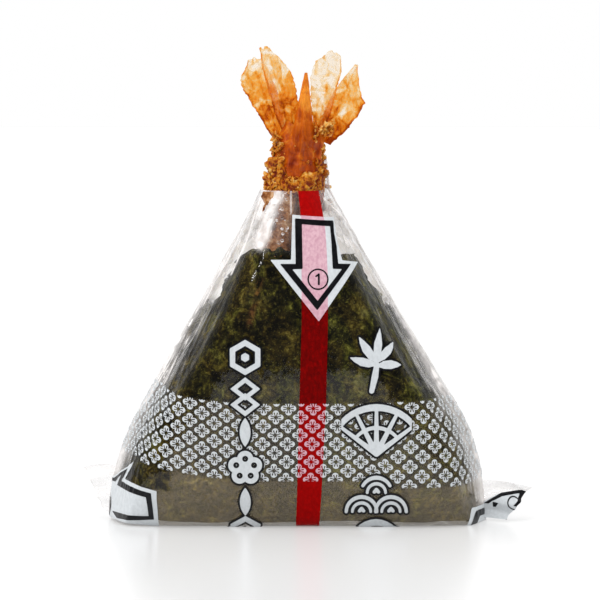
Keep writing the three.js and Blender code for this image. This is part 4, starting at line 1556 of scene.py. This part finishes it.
def telson_mesh(rows=70, columns=48):
    t, a = np.meshgrid(np.linspace(0, 1, rows), round_turns(columns), indexing="ij")
    narrow = (1 - (1 - TELSON["tip_share"]) * t) ** TELSON["taper"] * mix(0.8, 1.12, rise(t, 0, 0.25))
    across, front = np.cos(a), np.sin(a)
    keel = np.where(front > 0, TELSON["keel"] * bell(across, 0, TELSON["keel_width"]), 0)
    groove = 0.16 * np.cos(across * 9) * (front > 0)
    rough = 0.08 * fractal(across * 2, front * 2, t * 14, 121)
    x = mix(TELSON["root_centre"], TELSON["tip_centre"], t) + across * (TELSON["half_width"] * narrow + rough)
    y = mix(TELSON["root_depth"] - 0.9, TELSON["tip_depth"], t)
    y = y - front * TELSON["half_depth"] * narrow * (1 + keel + groove)
    points = stacked(x, y + rough, mix(TELSON["low"] - 3.0, TELSON["tip"], t))
    return points, flipped(tube_faces(rows, columns))


def blade_mesh(blade, seed, rows=120, columns=56):
    """A blade and how amber it is. t runs from its root to its tip, s from its near edge to the far one."""
    t, s = np.meshgrid(np.linspace(0, 1, rows), np.linspace(-1, 1, columns), indexing="ij")
    root, tip = np.array(blade["root"], float), np.array(blade["tip"], float)
    run = tip - root
    step = run / np.hypot(*run)
    outward = -1 if run[0] < 0 else 1
    across = outward * np.array([step[1], -step[0]])
    side = np.sign(s)
    ragged = 1 + 0.04 * value_noise(t * 16, side, 0, seed) + 0.04 * value_noise(t * 42, side, 0, seed + 1)
    corner_at, corner_out = blade["corner"]
    away = along(blade["away"], t) + corner_out * bell(t, corner_at, 0.03)
    width = s * np.where(s > 0, away, along(blade["near"], t)) * ragged
    uneven = 0.5 * value_noise(s * 3.5, 0, 0, seed + 2)
    lengthen = (uneven - blade["round"] * np.abs(s) ** 3) * rise(t, 0.82, 0.18)
    x, z = (root[k] + run[k] * t + across[k] * width + step[k] * lengthen for k in (0, 1))
    midrib = bell(s, 0, 0.08) * (1 - 0.6 * t)
    side_ribs = 0.6 * bell(np.abs(s), 0.52, 0.06) * (1 - t)
    edge_rib = bell(s, 0.95, 0.07) * (1 - 0.5 * t)
    joint = bell(t, blade["joint"] + 0.03 * np.sin(s * 4), 0.012)
    rib = np.clip(midrib + side_ribs + edge_rib + 0.8 * joint, 0, 1)
    crumple = 0.5 * fractal(x / 2.2, z / 4.0, 0, seed + 4) * smooth_step(t * 3)
    y = blade["depth"] + blade["bow"] * (t**2 - BLADE_CUP * s**2) - 0.35 * rib + crumple
    outline = rise(np.abs(s), 0.93, 0.07) + rise(t, 0.965, 0.035) * (1 - blade["base"])
    amber = blade["base"] - 0.36 * rise(t, blade["joint"], 1 - blade["joint"])
    amber = amber + 0.18 * (1 - rise(t, blade["joint"], 0.05)) + 0.30 * (1 - rise(t, 0, 0.16))
    amber = amber + 0.10 * value_noise(x / 1.6, z / 2.6, 0, seed + 6)
    amber = amber + 0.24 * np.clip(midrib + side_ribs, 0, 1) + 0.34 * edge_rib + 0.18 * joint
    amber = amber + 0.22 * np.clip(outline, 0, 1)
    faces = grid_faces(rows, columns)
    return stacked(x, y, z), flipped(faces) if outward < 0 else faces, amber.ravel()


def make_prawn():
    golden = batter_material("fried_batter", (0.27, 0.026, 0.0002), (0.64, 0.155, 0.002), (0.92, 0.41, 0.022),
                             (0.99, 0.72, 0.24))
    damp = batter_material("damp_batter", (0.16, 0.040, 0.006), (0.33, 0.115, 0.026), (0.54, 0.24, 0.080),
                           (0.78, 0.52, 0.30))
    flesh = body_material("prawn_flesh", (0.20, 0.012, 0.0001), (0.56, 0.085, 0.0005), (0.90, 0.30, 0.014))
    horn = body_material("prawn_telson_horn", (0.36, 0.045, 0.0003), (0.64, 0.125, 0.001),
                         (0.92, 0.34, 0.028))
    points, faces = prawn_body()
    pale = 0.6 * rise(points[:, 2], 93, 6) + 0.3
    body = make_piece("prawn_body", (points, faces), "fried_prawn", flesh, pale=pale)
    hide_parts("prawn_tail")
    points, faces = prawn_under_film()
    outer = np.clip(0.75 + 0.3 * fractal(*(points.T / 2), 131), 0, 1)
    make_piece("prawn_under_film", (points, faces), "batter", damp, outer=outer)
    for name, (points, faces, outer) in (("batter_collar", batter_collar()), ("batter_crumbs", crumbs())):
        make_piece(name, (points, faces), "batter", golden, outer=outer)
    points, faces = telson_mesh()
    pale = 0.9 * rise(points[:, 2], 92, 16)
    make_piece("prawn_telson", (points, faces), "fried_prawn", horn, pale=pale)
    shell = shell_material()
    for k, blade in enumerate(BLADES):
        points, faces, amber = blade_mesh(blade, seed=140 + 10 * k)
        piece = make_piece(blade["name"], (points, faces), "fried_prawn", shell, amber=amber)
        thicken(piece, SHELL_THICK, 0)


def droplet(s, z, size, sides=12, rings=3):
    """A low dome of water on the film."""
    middle, right, higher = (film_point(turn_at(s + ds, z + dz), np.array(z + dz), 0.02)
                             for ds, dz in ((0, 0), (0.3, 0), (0, 0.3)))
    right, higher = unit(right - middle), unit(higher - middle)
    out = 0.45 * np.cross(right, higher)
    points = [middle + out * size]
    for tilt in np.arange(1, rings + 1) * (math.pi / 2 / rings):
        for a in round_turns(sides):
            flat = right * math.cos(a) + higher * math.sin(a)
            points.append(middle + size * (flat * math.sin(tilt) + out * math.cos(tilt)))
    faces = []
    for k in range(1, 1 + sides):
        j = 1 + k % sides
        faces.append((0, k, j))
        faces += [(r + k, r + sides + k, r + sides + j, r + j) for r in range(0, (rings - 1) * sides, sides)]
    faces.append(tuple(range((rings - 1) * sides + 1, rings * sides + 1))[::-1])
    return points, faces


def make_droplets(count=34):
    """Small drops of condensation on the film, left of the strip near the top."""
    random = np.random.default_rng(9)
    drops = [droplet(random.uniform(-12.5, -1.5), random.uniform(69.5, 81.5), random.uniform(0.18, 0.5))
             for _ in range(count)]
    make_piece("droplets", joined(drops), "film", droplet_material())


# ---------------------------------------------------------------- stage, light and camera

FLOOR = dict(reach=6000.0, z=-0.06, gloss=0.34, glow=0.24)
# How bright the studio is in front of and behind the pack: what lights it, and what it reflects.
LIT = dict(front=0.60, back=1.05, start=-0.8, end=0.1)
REFLECTED = dict(front=0.03, back=1.0, start=0.30, end=0.95)
# The wide soft suns: where from, their spread in degrees and their power.
SUNS = dict(key_left=((-0.42, -0.33, 0.48), 60, 1.6), fill_right=((0.48, -0.24, 0.36), 70, 0.8))
# The soft boxes: where, towards what, their size and their power.
SOFT_BOXES = dict(top=((-60, -120, 640), (0, 0, 90), 60, 0.2),
                  glint=((-300, -500, 500), (0, 0, 80), 80, 0.22))


def make_floor():
    """A wide white table, lit a little from below."""
    n = new_material("white_acrylic")
    shine = n.add("BsdfGlossy", {"Color": (1, 1, 1), "Roughness": 0.24})
    table = n.mix_shaders(FLOOR["gloss"], n.diffuse((0.55, 0.55, 0.55)), shine)
    glow = n.add("Emission", {"Color": (1, 1, 1), "Strength": FLOOR["glow"]})
    reach, z = FLOOR["reach"], FLOOR["z"]
    corners = [(-reach, -reach, z), (reach, -reach, z), (reach, reach, z), (-reach, reach, z)]
    material = n.done(n.add("AddShader", {0: table, 1: glow}))
    floor = mesh_piece("floor", corners, [(0, 1, 2, 3)], material, smooth=False)


def add_lamp(name, kind, power, towards):
    light = bpy.data.lights.new(name, kind)
    light.energy = power
    lamp = bpy.data.objects.new(name, light)
    lamp.rotation_euler = Vector(towards).to_track_quat("-Z", "Y").to_euler()
    bpy.context.scene.collection.objects.link(lamp)
    return lamp


def make_lights():
    """A white studio, dark in front of the pack so that its film keeps clear, two suns and two soft boxes."""
    n = Nodes(bpy.data.worlds.new("studio"), "OutputWorld")
    direction = n.add("SeparateXYZ", {"Vector": n.add("TexCoord", output="Generated")}, "Y")

    def studio(look):
        strength = n.level(direction, look["start"], look["end"], look["front"], look["back"],
                           interpolation_type="SMOOTHSTEP")
        return n.add("Background", {"Color": (1, 1, 1), "Strength": strength})

    unseen = n.mix_shaders(n.add("LightPath", output="Is Glossy Ray"), studio(LIT), studio(REFLECTED))
    seen = n.add("Background", {"Color": (1, 1, 1), "Strength": 1.0})
    bpy.context.scene.world = n.done(n.mix_shaders(n.add("LightPath", output="Is Camera Ray"), unseen, seen))
    for name, (place, spread, power) in SUNS.items():
        lamp = add_lamp(name, "SUN", power, -Vector(place))
        lamp.data.angle = math.radians(spread)
        lamp.visible_glossy = False
    for name, (place, target, size, power) in SOFT_BOXES.items():
        lamp = add_lamp(name, "AREA", power, Vector(target) - Vector(place))
        lamp.data.size = size * MM
        lamp.location = Vector(place) * MM


def make_camera():
    data = bpy.data.cameras.new("camera")
    data.sensor_width = SENSOR
    data.lens = SENSOR * CAMERA_DISTANCE / FRAME_WIDTH
    data.clip_end = 100
    camera = bpy.data.objects.new("camera", data)
    tilt = math.radians(CAMERA_ELEVATION)
    look = Vector((0, math.cos(tilt), -math.sin(tilt)))
    camera.location = (Vector(AIM) - look * CAMERA_DISTANCE) * MM
    camera.rotation_euler = look.to_track_quat("-Z", "Y").to_euler()
    bpy.context.scene.collection.objects.link(camera)
    bpy.context.scene.camera = camera


# ---------------------------------------------------------------- assembly

make_camera()
make_film()
make_nori()
make_rice()
make_print()
make_prawn()
make_droplets()
make_floor()
make_lights()
bpy.context.scene.view_settings.view_transform = "Standard"
